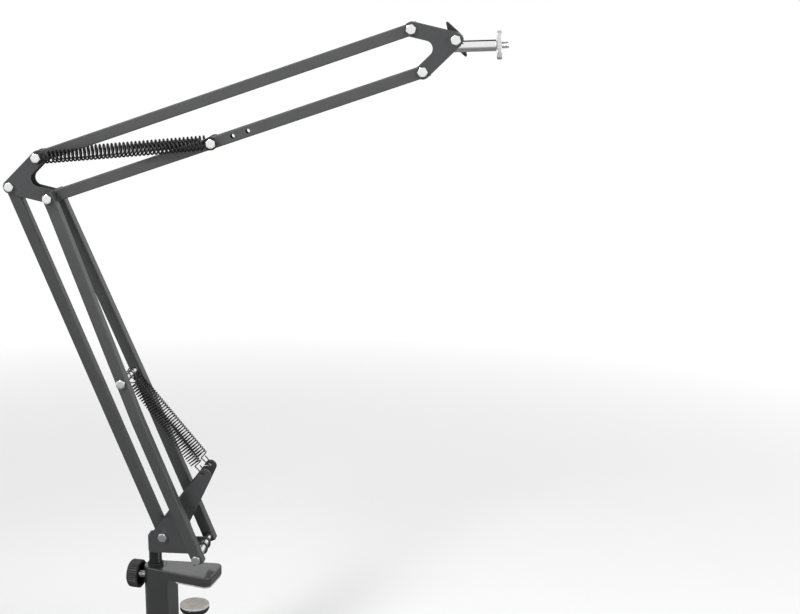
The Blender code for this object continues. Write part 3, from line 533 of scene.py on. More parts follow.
def moulded_plastic(name, colour):
    """Moulded plastic with a fine spark-eroded texture that is polished on its corners."""
    plastic = Finish(name, {"Specular IOR Level": 0.5})
    spots = plastic.place()
    texture = plastic.noise(spots, 2600, 2, 0.6)
    mottle = plastic.noise(spots, 90, 2)
    edge = plastic.edges(0.5 * MM)
    base = plastic.shaded(mottle, colour, 0.85, 1.25)
    return plastic.wear(
        base_color=plastic.tint(edge * 0.5, base, pale(colour, 2.2, 0.01)),
        roughness=0.40 + 0.12 * texture - 0.12 * edge,
        normal=plastic.bump(texture, 0.06 * MM, 0.4),
    )


def glossy_black(name, colour):
    """Black enamel on steel: a glossy skin with light rubbing marks round it."""
    enamel = Finish(name, {"Specular IOR Level": 0.6, "Coat Roughness": 0.08})
    rub = enamel.noise(enamel.place((40, 40, 900)), 1.0, 3)
    mottle = enamel.noise(enamel.place(), 120, 2)
    return enamel.wear(
        base_color=enamel.shaded(mottle, colour, 0.7, 1.5),
        roughness=0.16 + 0.12 * rub + 0.06 * mottle,
        coat_weight=0.4 + 0.3 * mottle,
        normal=enamel.bump(rub, 0.02 * MM, 0.25),
    )


def spring_wire(name, colour):
    """Blackened wire under a film of oil: glossy, with drawing lines and patches that are nearly bare."""
    wire_steel = Finish(name, {"Specular IOR Level": 0.6})
    spots = wire_steel.place()
    film = wire_steel.noise(spots, 160, 3)
    lines = wire_steel.noise(spots, 2400, 2)
    bare = wire_steel.between(film, 0.56, 0.72)
    return wire_steel.wear(
        base_color=wire_steel.shaded(bare, colour, 0.8, 3.0),
        roughness=0.22 + 0.10 * lines + 0.06 * film,
        metallic=0.55 + 0.35 * bare,
        normal=wire_steel.bump(lines, 0.02 * MM, 0.3),
    )


def zinc_plate(name, colour):
    """Bright zinc plate: a cool and a warm cast in patches, fine tumbling marks and duller edges."""
    zinc = Finish(name, {})
    spots = zinc.place()
    patches = zinc.noise(spots, 260, 3)
    marks = zinc.noise(spots, 2600, 3, 0.7)
    edge = zinc.edges(0.3 * MM)
    cool = tuple(c * f for c, f in zip(colour, (0.94, 0.98, 1.04)))
    warm = tuple(c * f for c, f in zip(colour, (1.04, 1.01, 0.93)))
    base = zinc.tint(zinc.between(patches, 0.3, 0.7), cool, warm)
    base = zinc.tint(edge * 0.25, base, shades(colour, 0.7, 1)[0])
    return zinc.wear(
        base_color=base,
        roughness=0.16 + 0.14 * marks + 0.06 * edge,
        metallic=1.0 - 0.06 * edge,
        normal=zinc.bump(marks, 0.03 * MM, 0.18),
    )


def polished_chrome(name, colour):
    """Polished chrome with faint polishing lines round it and a thin haze in places."""
    chrome = Finish(name, {})
    haze = chrome.noise(chrome.place(), 70, 3)
    lines = chrome.noise(chrome.place((120, 120, 5200)), 1.0, 2)
    return chrome.wear(
        base_color=chrome.shaded(haze, colour, 0.95, 1.03),
        roughness=0.045 + 0.05 * haze + 0.03 * lines,
        metallic=1.0 - 0.02 * haze,
        normal=chrome.bump(lines, 0.01 * MM, 0.12),
    )


def rubber(name, colour):
    """Matt cellular rubber: closed cells in the skin, darker along the grooves between them."""
    pad = Finish(name, {"Specular IOR Level": 0.3})
    spots = pad.place()
    inputs = {"Vector": spots, "Scale": 1500.0}
    cells = pad.add("ShaderNodeTexVoronoi", {"feature": "DISTANCE_TO_EDGE"}, inputs, "Distance")
    grime = pad.noise(spots, 130, 4)
    dark, light = shades(colour, 0.72, 1.08)
    base = pad.tint(pad.between(grime, 0.3, 0.7), dark, light)
    base = pad.tint((1 - pad.between(cells, 0.0, 0.12)) * 0.3, base, dark)
    return pad.wear(
        base_color=base,
        roughness=0.78 + 0.14 * grime,
        normal=pad.bump(cells, 0.1 * MM, 0.4),
    )


FINISHES = {
    "lower_paint": (powder_coat, "lower_paint"),
    # Same powder coat as the lower paint, its lighter colour painted light for the upper tubes.
    "upper_paint": (powder_coat, "upper_paint"),
    "plate_paint": (powder_coat, "plate_paint"),
    "clamp_paint": (cast_paint, "clamp_paint"),
    "black_plastic": (moulded_plastic, "plastic"),
    "black_steel": (glossy_black, "black_steel"),
    "spring_steel": (spring_wire, "spring_steel"),
    "zinc": (zinc_plate, "zinc"),
    "chrome": (polished_chrome, "chrome"),
    "pale_pad": (rubber, "pad"),
}


def finish(slot):
    """The material of one of the record's slots, made at its first use."""
    name = f"{slot}_finish"
    write, colour = FINISHES[slot]
    colours = bpy.context.scene.camera_arm_colours
    return bpy.data.materials.get(name) or write(name, tuple(getattr(colours, colour)))


# Places


def aimed(origin, way):
    """A place whose Z runs along way and whose X stays in the arm's plane."""
    side = Vector((0, 1, 0)).cross(way).normalized()
    return Matrix.Translation(origin) @ Matrix((side, way.cross(side), way)).transposed().to_4x4()


def across(origin, turn=0.0):
    """A place whose Z runs along +Y, turned about it."""
    return Matrix.Translation((origin[0], 0, origin[2])) @ ALONG_Y @ Matrix.Rotation(turn, 4, "Z")


def in_clamp(x=0.0, z=0.0):
    """A place in the clamp, which is turned about the post."""
    return Matrix.Rotation(CLAMP_YAW, 4, "Z") @ Matrix.Translation((x, 0, z))


# Outlines


def vectors(*places):
    return [Vector(place) for place in places]


def arc(centre, radius, start, end, steps=16):
    """Points on an arc from start to end, in degrees."""
    angles = [math.radians(start + (end - start) * i / steps) for i in range(steps + 1)]
    return [Vector((centre[0] + radius * math.cos(a), centre[1] + radius * math.sin(a))) for a in angles]


def eased(points, radius, steps=4, closed=True):
    """The outline with each corner turned into an arc of that radius."""
    made = []
    count = len(points)
    for i, corner in enumerate(points):
        if not closed and i in (0, count - 1):
            made.append(corner)
            continue
        into = (corner - points[i - 1]).normalized()
        out = (points[(i + 1) % count] - corner).normalized()
        turn = -into.angle_signed(out, 0.0)
        if abs(turn) < 0.01 or radius == 0:
            made.append(corner)
            continue
        start = corner - into * radius * math.tan(abs(turn) / 2)
        spoke = Vector((-into.y, into.x)) * math.copysign(radius, turn)
        for step in range(steps + 1):
            made.append(start + spoke + Matrix.Rotation(turn * step / steps, 2) @ -spoke)
    return made


# Rings for turned(): each is a function from an angle to (radius, z)


def ring(radius, z):
    return lambda angle: (radius, z)


def hex_ring(flats, z, fall=0.0):
    """Six-sided, with its corners on a cone that falls away by fall for each unit past the flats."""

    def at(angle):
        radius = flats / 2 / math.cos(angle % SIXTH - SIXTH / 2)
        return radius, z + fall * (radius - flats / 2)

    return at


def ribbed_ring(radius, z, count, depth):
    """Broad ribs with narrow grooves between them."""
    return lambda angle: (radius - depth * max(0.0, math.cos(count * angle)) ** 2, z)


def crown_rings(radius, low, crown):
    return [ring(radius * share, low + height * MM) for share, height in crown]


def thread_rings(radius, pitch, low, high, tip=0.0):
    """A right-handed screw thread from low to high. It runs out over its last pitch, down to tip in all."""
    depth = pitch * 0.5
    count = math.ceil((high - low) / pitch * THREAD_STEPS)

    def at_height(z):
        drop = tip * max(0.0, 1 - (high - z) / pitch)
        fade = min(1.0, (z - low) / pitch)

        def at(angle):
            share = (z / pitch - angle / FULL_TURN) % 1
            return radius - drop - fade * depth * abs(2 * share - 1), z

        return at

    return [at_height(low + (high - low) * i / count) for i in range(count + 1)]


# Meshes


def mesh_from(name, shape):
    bmesh.ops.recalc_face_normals(shape, faces=shape.faces)
    mesh = bpy.data.meshes.new(name)
    shape.to_mesh(mesh)
    shape.free()
    return mesh


def turned(name, rings, sides=ROUND, hollow=False):
    """Rings about Z, joined in order. A hollow piece closes on itself. A solid one has a face at each end."""
    shape = bmesh.new()
    loops = []
    for at in rings:
        loop = []
        for i in range(sides):
            angle = FULL_TURN * i / sides
            radius, z = at(angle)
            loop.append(shape.verts.new((radius * math.cos(angle), radius * math.sin(angle), z)))
        loops.append(loop)
    joins = list(zip(loops, loops[1:]))
    if hollow:
        joins.append((loops[-1], loops[0]))
    else:
        shape.faces.new(loops[0])
        shape.faces.new(loops[-1])
    for one, two in joins:
        for i in range(sides):
            shape.faces.new((one[i], one[i - 1], two[i - 1], two[i]))
    return mesh_from(name, shape)


def lathe(name, profile, fillet, sides=ROUND, hollow=False):
    """A piece turned about Z from (radius, z) points, with every corner rounded."""
    points = vectors(*profile)
    if not hollow:
        first, last = points[0], points[-1]
        points = [Vector((first.x / 3, first.y)), *points, Vector((last.x / 3, last.y))]
    points = eased(points, fillet, 3, closed=hollow)
    return turned(name, [ring(p.x, p.y) for p in points], sides, hollow)


def prism(name, outline, low, high, upright=False):
    """The outline between low and high: along Y from an outline in XZ, or along Z from one in XY."""
    shape = bmesh.new()
    ends = []
    for level in (low, high):
        if upright:
            ends.append([shape.verts.new((p[0], p[1], level)) for p in outline])
        else:
            ends.append([shape.verts.new((p[0], level, p[1])) for p in outline])
    for end in ends:
        shape.faces.new(end)
    one, two = ends
    for i in range(len(outline)):
        shape.faces.new((one[i], one[i - 1], two[i - 1], two[i]))
    return mesh_from(name, shape)


def square_tube(name, path, sizes):
    """An open square tube whose middle runs along the (y, z) points of path. Its ends are slightly eased."""
    first = path[0] + (path[1] - path[0]).normalized() * TUBE_EASE
    last = path[-1] + (path[-2] - path[-1]).normalized() * TUBE_EASE
    path = [path[0], first, *path[1:-1], last, path[-1]]
    inner_half = TUBE_HALF - sizes.tube_wall
    square = vectors((1, -1), (1, 1), (-1, 1), (-1, -1))
    outside = eased([corner * TUBE_HALF for corner in square], sizes.tube_corner, 4)
    inside = eased([corner * inner_half for corner in square], sizes.tube_corner / 3, 4)
    shape = bmesh.new()
    loops = []
    for i, point in enumerate(path):
        ways = [(b - a).normalized() for a, b in zip(path[max(i - 1, 0):i + 1], path[max(i, 1):i + 2])]
        way = sum(ways, Vector((0, 0))).normalized()
        side = Vector((way.y, -way.x))
        at_end = i in (0, len(path) - 1)
        station = []
        for rim, half in ((outside, TUBE_HALF - TUBE_EASE), (inside, inner_half + TUBE_EASE)):
            scale = half / (TUBE_HALF if rim is outside else inner_half) if at_end else 1.0
            spots = [
                (p.x * scale, point.x + p.y * scale * side.x, point.y + p.y * scale * side.y) for p in rim
            ]
            station.append([shape.verts.new(spot) for spot in spots])
        loops.append(station)
    for one, two in zip(loops, loops[1:]):
        for rim in range(2):
            for i in range(len(outside)):
                shape.faces.new((one[rim][i], one[rim][i - 1], two[rim][i - 1], two[rim][i]))
    for outer, inner in (loops[0], loops[-1]):
        for i in range(len(outside)):
            shape.faces.new((outer[i], outer[i - 1], inner[i - 1], inner[i]))
    return mesh_from(name, shape)


def wire(name, points, radius):
    """One round tube through the points, closed at both ends."""
    curve = bpy.data.curves.new(name, "CURVE")
    curve.dimensions = "3D"
    curve.fill_mode = "FULL"
    curve.bevel_depth = radius
    curve.bevel_resolution = 3
    curve.use_fill_caps = True
    spline = curve.splines.new("POLY")
    spline.points.add(len(points) - 1)
    for spot, point in zip(spline.points, points):
        spot.co = (*point, 1)
    holder = bpy.data.objects.new(name, curve)
    mesh = bpy.data.meshes.new_from_object(holder)
    bpy.data.objects.remove(holder)
    bpy.data.curves.remove(curve)
    return mesh


def hold(mesh):
    obj = bpy.data.objects.new(mesh.name, mesh)
    bpy.context.scene.collection.objects.link(obj)
    return obj


def settle(piece, *helpers):
    """The piece's mesh with its modifiers applied. The objects it was made with are removed."""
    depsgraph = bpy.context.evaluated_depsgraph_get()
    made = bpy.data.meshes.new_from_object(piece.evaluated_get(depsgraph))
    for used in (piece, *helpers):
        mesh = used.data
        bpy.data.objects.remove(used)
        bpy.data.meshes.remove(mesh)
    return made


def carve(mesh, tool, operation="DIFFERENCE"):
    """The mesh with the tool cut from it, joined to it, or with only what they share."""
    piece, helper = hold(mesh), hold(tool)
    modifier = piece.modifiers.new("Carve", "BOOLEAN")
    modifier.operation = operation
    modifier.solver = "EXACT"
    modifier.object = helper
    return settle(piece, helper)


def drill(mesh, radius, low, high, place=Matrix.Identity(4), sides=SMALL_ROUND):
    tool = turned("drill", [ring(radius, low), ring(radius, high)], sides)
    tool.transform(place)
    return carve(mesh, tool)


def soften(mesh, width, segments=2):
    """The mesh with its sharp edges rounded."""
    piece = hold(mesh)
    modifier = piece.modifiers.new("Soften", "BEVEL")
    modifier.width = width
    modifier.segments = segments
    modifier.limit_method = "ANGLE"
    modifier.angle_limit = ROUNDED_FROM
    return settle(piece)


def shade(mesh):
    """The mesh shaded smooth, with flat faces kept flat up to their rounded edges."""
    mesh.shade_smooth()
    mesh.set_sharp_from_angle(angle=SHARP_FROM)
    piece = hold(mesh)
    modifier = piece.modifiers.new("Shade", "WEIGHTED_NORMAL")
    modifier.keep_sharp = True
    return settle(piece)


def dress(name, mesh, place, *nodes):
    """A finished piece that stands for the nodes, on the first one's body and in its finish."""
    slot = SLOT_OF[nodes[0]]
    piece = hold(shade(mesh))
    piece.name = name
    piece.data.name = name
    piece.matrix_world = place
    piece.data.materials.clear()
    piece.data.materials.append(finish(slot))
    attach(piece, BODY_OF[nodes[0]])
    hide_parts(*nodes)


# Pieces


def clamp_plan():
    """The clamp's plan: round about the post and widening to the tip. It reads anticlockwise from above."""
    tilt = math.degrees(math.atan2(CLAMP_TIP_HALF - CLAMP_END_R, CLAMP_REACH))
    tip = CLAMP_REACH - CLAMP_TIP_CORNER
    corner_y = CLAMP_TIP_HALF - CLAMP_TIP_CORNER
    near = arc((tip, -corner_y), CLAMP_TIP_CORNER, -90 - tilt, 0)
    far = arc((tip, corner_y), CLAMP_TIP_CORNER, 0, 90 + tilt)
    back = arc((0, 0), CLAMP_END_R, 90 + tilt, 270 - tilt, 32)
    return near + far + back


def clamp_mouth():
    """What is cut from the clamp's side: the throat, and the end of the lower jaw."""
    beyond = CLAMP_REACH + CLAMP_TIP_HALF
    throat = vectors(
        (beyond, JAW_LOW),
        (SPINE_FACE, JAW_LOW),
        (SPINE_FACE, LOWER_JAW_TOP),
        (LOWER_JAW_REACH, LOWER_JAW_TOP),
    )
    below = JAW_BOTTOM - CLAMP_TIP_HALF
    return eased(throat, THROAT_CORNER, 5, closed=False) + vectors((LOWER_JAW_REACH, below), (beyond, below))


def lock_bored(mesh):
    """The mesh with the lock screw's hole through its back."""
    return drill(mesh, LOCK_SCREW_R + GAP, -2 * CLAMP_END_R, 0, ALONG_LOCK)


class CAMERA_ARM_OT_clamp(bpy.types.Operator):
    """Cast clamp frame, its rubber pad and the post's bush"""

    bl_idname = "camera_arm.clamp"
    bl_label = "Clamp"

    def execute(self, context):
        sizes = context.scene.camera_arm_sizes
        frame_mesh = prism("clamp", clamp_plan(), JAW_BOTTOM, JAW_TOP, upright=True)
        mouth = prism("mouth", clamp_mouth(), -2 * CLAMP_TIP_HALF, 2 * CLAMP_TIP_HALF)
        frame_mesh = soften(carve(frame_mesh, mouth), sizes.cast_edge, 3)
        frame_mesh = drill(frame_mesh, BUSH_R + GAP, low_of("post_bush").z - GAP, JAW_TOP + TUBE, sides=ROUND)
        at_screw = Matrix.Translation((CLAMP_SCREW_X, 0, 0))
        bore = CLAMP_SCREW_R + GAP
        frame_mesh = drill(lock_bored(frame_mesh), bore, JAW_BOTTOM - TUBE, LOWER_JAW_TOP + TUBE, at_screw)
        groove = arc((0, 0), GROOVE_R - GROOVE / 2, -GROOVE_END, GROOVE_END, 32)
        groove += arc((0, 0), GROOVE_R + GROOVE / 2, GROOVE_END, -GROOVE_END, 32)
        groove_mesh = prism("groove", groove, JAW_TOP - GROOVE, JAW_TOP + TUBE, upright=True)
        dress("cast_clamp", carve(frame_mesh, groove_mesh), in_clamp(), "clamp_frame")
        self.pad()
        self.bush()
        return {"FINISHED"}

    def pad(self):
        tip = CLAMP_REACH - PAD_INSET
        half = CLAMP_TIP_HALF - PAD_INSET
        back = half - (tip - PAD_BACK) * (CLAMP_TIP_HALF - CLAMP_END_R) / CLAMP_REACH
        plan = vectors((PAD_BACK, -back), (tip, -half), (tip, half), (PAD_BACK, back))
        mesh = prism("pad", eased(plan, PAD_CORNER, 8), 0, high_of("upper_jaw_pad").z, upright=True)
        dress("jaw_rubber", soften(mesh, PAD_EDGE), in_clamp(), "upper_jaw_pad")

    def bush(self):
        low, top = levels("post_bush")
        seat = top - BUSH_FLANGE
        bore = POST_R + GAP
        profile = [(BUSH_R, low), (BUSH_R, seat), (BUSH_FLANGE_R, seat), (BUSH_FLANGE_R, top)]
        profile += [(bore, top), (bore, low)]
        mesh = lathe("bush", profile, 0.15 * MM, hollow=True)
        dress("swivel_bush", lock_bored(mesh), in_clamp(), "post_bush")


class CAMERA_ARM_OT_clamp_screw(bpy.types.Operator):
    """Threaded clamp screw, its knob and its pressure pad"""

    bl_idname = "camera_arm.clamp_screw"
    bl_label = "Clamp Screw"

    def execute(self, context):
        sizes = context.scene.camera_arm_sizes
        place = in_clamp(CLAMP_SCREW_X)
        low, top = levels("clamp_screw")
        knob_low, knob_top = levels("clamp_knob")
        neck = top - CLAMP_SCREW_TIP
        radius = CLAMP_SCREW_R
        rings = [ring(radius * 0.8, low), ring(radius, low + 1 * MM), ring(radius, knob_top)]
        rings += thread_rings(radius, CLAMP_SCREW_PITCH, knob_top + GAP, neck)
        rings += [ring(radius * 0.72, neck + GAP), ring(radius * 0.72, top - 1 * MM), ring(radius * 0.6, top)]
        dress("clamp_spindle", turned("spindle", rings, SMALL_ROUND), place, "clamp_screw")

        radius = CLAMP_KNOB_R
        bore = CLAMP_SCREW_R + GAP
        ribs = sizes.knob_ribs
        grip_low, grip_top = knob_low + 2.6 * MM, knob_top - 4 * MM
        rings = crown_rings(radius, knob_low, CLAMP_KNOB_CROWN)
        rings += [
            ribbed_ring(radius * 0.975, grip_low - 0.8 * MM, ribs, CLAMP_KNOB_RIB * 0.5),
            ribbed_ring(radius, grip_low, ribs, CLAMP_KNOB_RIB),
            ribbed_ring(radius, grip_top, ribs, CLAMP_KNOB_RIB),
            ribbed_ring(radius * 0.965, grip_top + 0.9 * MM, ribs, CLAMP_KNOB_RIB * 0.5),
            ring(radius * 0.86, grip_top + 1.6 * MM),
            ring(CLAMP_SCREW_R * 2.0, knob_top - 0.5 * MM),
            ring(CLAMP_SCREW_R * 1.7, knob_top),
            ring(bore, knob_top),
            ring(bore, low - GAP),
        ]
        dress("clamp_grip", turned("grip", rings, ribs * 8), place, "clamp_knob")
        self.pad(place)
        return {"FINISHED"}

    def pad(self, place):
        low, top = levels("pressure_pad")
        face = top - PRESSURE_PAD_RIM
        bore = CLAMP_SCREW_R + GAP
        profile = [
            (bore, face + 3 * MM),
            (bore, low),
            (bore + 1.2 * MM, low),
            (bore + 2.4 * MM, face),
            (PRESSURE_PAD_R * 0.9, face),
            (PRESSURE_PAD_R, face + 2.5 * MM),
            (PRESSURE_PAD_R, top),
        ]
        dress("pressure_plate", lathe("plate", profile, 0.4 * MM), place, "pressure_pad")
        profile = [(PRESSURE_PAD_R, level) for level in levels("pressure_pad_liner")]
        dress("pressure_rubber", lathe("liner", profile, 0.5 * MM), place, "pressure_pad_liner")


class CAMERA_ARM_OT_lock_screw(bpy.types.Operator):
    """Screw that locks the swivel, with its hollow ribbed knob"""

    bl_idname = "camera_arm.lock_screw"
    bl_label = "Lock Screw"

    def execute(self, context):
        sizes = context.scene.camera_arm_sizes
        place = in_clamp(z=LOCK_Z) @ ALONG_X
        mouth = LOCK_KNOB_MOUTH
        back = mouth - LOCK_KNOB_THICK
        screw_back = back + LOCK_KNOB_WALL
        neck = mouth - LOCK_KNOB_HUB
        rings = [ring(LOCK_SCREW_R, screw_back), ring(LOCK_SCREW_R, neck)]
        rings += thread_rings(LOCK_SCREW_R, LOCK_SCREW_PITCH, neck + GAP, LOCK_SCREW_END, LOCK_SCREW_POINT)
        dress("lock_spindle", turned("spindle", rings, SMALL_ROUND), place, "lock_screw")

        radius = LOCK_KNOB_R
        ribs = sizes.knob_ribs
        inside = radius - LOCK_KNOB_RIB - LOCK_KNOB_WALL
        seat = mouth - LOCK_KNOB_HOLLOW
        hub = LOCK_KNOB_HUB_R
        hub_top = seat + LOCK_KNOB_HUB
        bore = LOCK_SCREW_R + GAP
        rings = crown_rings(radius, back, LOCK_KNOB_CROWN)
        rings += [
            ribbed_ring(radius * 0.97, back + 1.4 * MM, ribs, LOCK_KNOB_RIB * 0.5),
            ribbed_ring(radius, back + 2.4 * MM, ribs, LOCK_KNOB_RIB),
            ribbed_ring(radius, mouth - 0.7 * MM, ribs, LOCK_KNOB_RIB),
            ribbed_ring(radius - 0.6 * MM, mouth, ribs, LOCK_KNOB_RIB * 0.6),
            ring(inside + 0.3 * MM, mouth),
            ring(inside, mouth - 0.4 * MM),
            ring(inside - 0.6 * MM, seat + 0.8 * MM),
            ring(inside - 1.4 * MM, seat),
            ring(hub + 0.9 * MM, seat),
            ring(hub, seat + 0.9 * MM),
            ring(hub - 0.3 * MM, hub_top - 0.5 * MM),
            ring(hub - 0.9 * MM, hub_top),
            ring(bore, hub_top),
            ring(bore, screw_back - GAP),
        ]
        dress("lock_grip", turned("grip", rings, ribs * 8), place, "lock_knob")
        return {"FINISHED"}


def yoke_side():
    """The folded plate's side view, from the web's low corner round by the lobe and the ear."""
    front = Vector((FRONT.x, FRONT.z))
    back = front.x + YOKE_BACK
    web_top = front.y + YOKE_WEB_TOP
    low = front.y + YOKE_LOW
    heel = [(back, front.y + YOKE_WEB_LOW), (back + YOKE_CHAMFER, low)]
    heel += arc((front.x + YOKE_LOBE_R - YOKE_HEEL_R, low + YOKE_HEEL_R), YOKE_HEEL_R, -90, -10, 10)
    lobe = arc(front, YOKE_LOBE_R, 5, 90, 10)
    waist = eased([lobe[-1], front + YOKE_WAIST, front + YOKE_WAIST_END], YOKE_WAIST_R, 6, closed=False)[1:-1]
    tip = arc(front + EAR_TIP, EAR_TIP_R, -30, 150)
    flank = [front + EAR_BACK, front + YOKE_SHOULDER]
    flank += vectors((back + YOKE_WEB_LIP, web_top), (back, web_top))
    return heel + lobe + waist + [front + YOKE_WAIST_END, front + EAR_FRONT] + tip + flank


def yoke_plan():
    """The folded plate's plan: two cheeks and a web, with round bends."""
    back = FRONT.x + YOKE_BACK
    end = FRONT.x + 4 * TUBE
    outer = vectors((end, PLATE_OUT), (back, PLATE_OUT), (back, -PLATE_OUT), (end, -PLATE_OUT))
    outer = eased(outer, PLATE + YOKE_BEND_R, 8, closed=False)
    inside = back + PLATE
    inner = vectors((end, -PLATE_IN), (inside, -PLATE_IN), (inside, PLATE_IN), (end, PLATE_IN))
    inner = eased(inner, YOKE_BEND_R, 4, closed=False)
    return outer + inner


def ear_slot():
    """The slot that a spring's hook drops into, open to the ear's back."""
    seat = Vector((FRONT.x, FRONT.z)) + EAR_SEAT
    quarter = EAR_SLOT / 4
    mouth = vectors(
        (seat.x - EAR_SEAT_R, seat.y - quarter),
        (seat.x - TUBE, seat.y - quarter),
        (seat.x - TUBE, seat.y - EAR_SEAT_R - EAR_SLOT / 2),
    )
    return arc(seat, EAR_SEAT_R, -90, 180) + mouth


def flared(mesh):
    """The yoke with both ears bent outwards over a soft double bend."""
    shape = bmesh.new()
    shape.from_mesh(mesh)
    low = FRONT.z + EAR_BEND_LOW
    rise = EAR_BEND_HIGH - EAR_BEND_LOW
    for i in range(EAR_BEND_STEPS + 1):
        geometry = [*shape.verts, *shape.edges, *shape.faces]
        level = (0, 0, low + rise * i / EAR_BEND_STEPS)
        bmesh.ops.bisect_plane(shape, geom=geometry, plane_co=level, plane_no=(0, 0, 1))
    for vert in shape.verts:
        share = min(max((vert.co.z - low) / rise, 0), 1)
        vert.co.y += math.copysign(EAR_FLARE, vert.co.y) * share * share * (3 - 2 * share)
    return mesh_from("yoke", shape)


class CAMERA_ARM_OT_swivel(bpy.types.Operator):
    """Swivel post and the folded yoke that it carries"""

    bl_idname = "camera_arm.swivel"
    bl_label = "Swivel"

    def execute(self, context):
        edge = context.scene.camera_arm_sizes.plate_edge
        mesh = prism("yoke", yoke_side(), -2 * PLATE_OUT, 2 * PLATE_OUT)
        plan = prism("plan", yoke_plan(), low_of("yoke").z - TUBE, high_of("yoke").z + TUBE, upright=True)
        mesh = soften(carve(mesh, plan, "INTERSECT"), edge)
        for pivot in (FRONT, REAR):
            mesh = drill(mesh, HOLE_R, -2 * TUBE, 2 * TUBE, across(pivot))
        mesh = carve(mesh, prism("slot", ear_slot(), -2 * TUBE, 2 * TUBE))
        dress("yoke_plate", flared(mesh), Matrix.Identity(4), "yoke")
        self.post()
        return {"FINISHED"}

    def post(self):
        """A turned post with a neck for the lock screw, and a flat tang between the yoke's cheeks."""
        low, tang_top = levels("swivel_post")
        shoulder = low_of("yoke").z - GAP
        profile = [
            (POST_R, low),
            (POST_R, LOCK_Z - POST_NECK_HALF),
            (POST_NECK_R, LOCK_Z - POST_NECK_HALF),
            (POST_NECK_R, LOCK_Z + POST_NECK_HALF),
            (POST_R, LOCK_Z + POST_NECK_HALF),
            (POST_R, shoulder),
        ]
        post = lathe("post", profile, 0.35 * MM)
        web = FRONT.x + YOKE_BACK + PLATE + GAP
        plan = vectors((web, -TUBE_HALF), (POST_R, -TUBE_HALF), (POST_R, TUBE_HALF), (web, TUBE_HALF))
        tang = prism("tang", plan, shoulder - TUBE_HALF, tang_top, upright=True)
        round_bar = turned("bar", [ring(POST_R * 0.98, z) for z in (shoulder - TUBE, shoulder + TUBE)])
        tang = soften(carve(tang, round_bar, "INTERSECT"), 0.3 * MM)
        dress("post", carve(post, tang, "UNION"), Matrix.Identity(4), "swivel_post")


def front_bar_path(side, sizes):
    """The (y, z) middle line of a front bar: upright, then bent in to meet the elbow plates."""
    node = "lower_bar_near" if side < 0 else "lower_bar_far"
    low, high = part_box(node)
    base = low.y + TUBE_HALF if side < 0 else high.y - TUBE_HALF
    top = high.y - TUBE_HALF if side < 0 else low.y + TUBE_HALF
    flat = LOWER_ARM - ELBOW_STRAIGHT
    points = vectors((base, -TUBE_END), (base, sizes.bend_height), (top, flat), (top, LOWER_ARM + TUBE_END))
    return eased(points, sizes.bend_radius, 8, closed=False)


def bar_y(side, height, sizes):
    """How far across the arm a front bar's middle is at a height along it."""
    path = front_bar_path(side, sizes)
    for one, two in zip(path, path[1:]):
        if one.y <= height <= two.y:
            return one.x + (two.x - one.x) * (height - one.y) / (two.y - one.y)
    raise ValueError(f"{height} is not on the bar")


class CAMERA_ARM_OT_bars(bpy.types.Operator):
    """Square tubes of both parallelograms"""

    bl_idname = "camera_arm.bars"
    bl_label = "Bars"

    def execute(self, context):
        sizes = context.scene.camera_arm_sizes
        for side, name in ((-1, "near"), (1, "far")):
            mesh = square_tube("bar", front_bar_path(side, sizes), sizes)
            for height in (0, SPRING_PIN_AT, LOWER_ARM):
                y = bar_y(side, height, sizes)
                mesh = drill(mesh, HOLE_R, y - TUBE, y + TUBE, Matrix.Translation((0, 0, height)) @ ALONG_Y)
            dress(f"front_bar_{name}", mesh, aimed(FRONT, LOWER_WAY), f"lower_bar_{name}")
        self.straight("rear_bar", REAR, LOWER_WAY, LOWER_ARM, "lower_rear_tube", sizes)
        self.straight("upper_bar_top", ELBOW_TOP, UPPER_WAY, UPPER_ARM, "upper_top_bar", sizes)
        spares = [(height, SPARE_HOLE_R) for height in SPARE_HOLES_AT] + [(UPPER_SPRING_AT, HOLE_R)]
        self.straight("upper_bar_low", ELBOW, UPPER_WAY, UPPER_ARM, "upper_lower_bar", sizes, spares)
        return {"FINISHED"}

    def straight(self, name, origin, way, length, node, sizes, more_holes=()):
        path = vectors((0, -TUBE_END), (0, length / 3), (0, length * 2 / 3), (0, length + TUBE_END))
        mesh = square_tube("tube", path, sizes)
        for height, radius in ((0, HOLE_R), (length, HOLE_R), *more_holes):
            mesh = drill(mesh, radius, -TUBE, TUBE, Matrix.Translation((0, 0, height)) @ ALONG_Y)
        dress(name, mesh, aimed(origin, way), node)


def corner_outline():
    """Two lobed arms from a hub at the origin, with a round crotch between them."""
    lobe_a, lobe_b = (Vector((p.x - ELBOW_REAR.x, p.z - ELBOW_REAR.z)) for p in (ELBOW, ELBOW_TOP))
    way_a = math.degrees(math.atan2(lobe_a.y, lobe_a.x))
    way_b = math.degrees(math.atan2(lobe_b.y, lobe_b.x))
    half = (way_b - way_a) / 2
    middle = math.radians(way_a + half)
    crotch = Vector((math.cos(middle), math.sin(middle))) * (LOBE_R + CROTCH_R) / math.sin(math.radians(half))
    hub = arc((0, 0), LOBE_R, way_b + 90, way_a + 270)
    around_a = arc(lobe_a, LOBE_R, way_a - 90, way_a + 90)
    inner = arc(crotch, CROTCH_R, way_a + 270, way_b + 90)
    around_b = arc(lobe_b, LOBE_R, way_b - 90, way_b + 90)
    return hub + around_a + inner + around_b


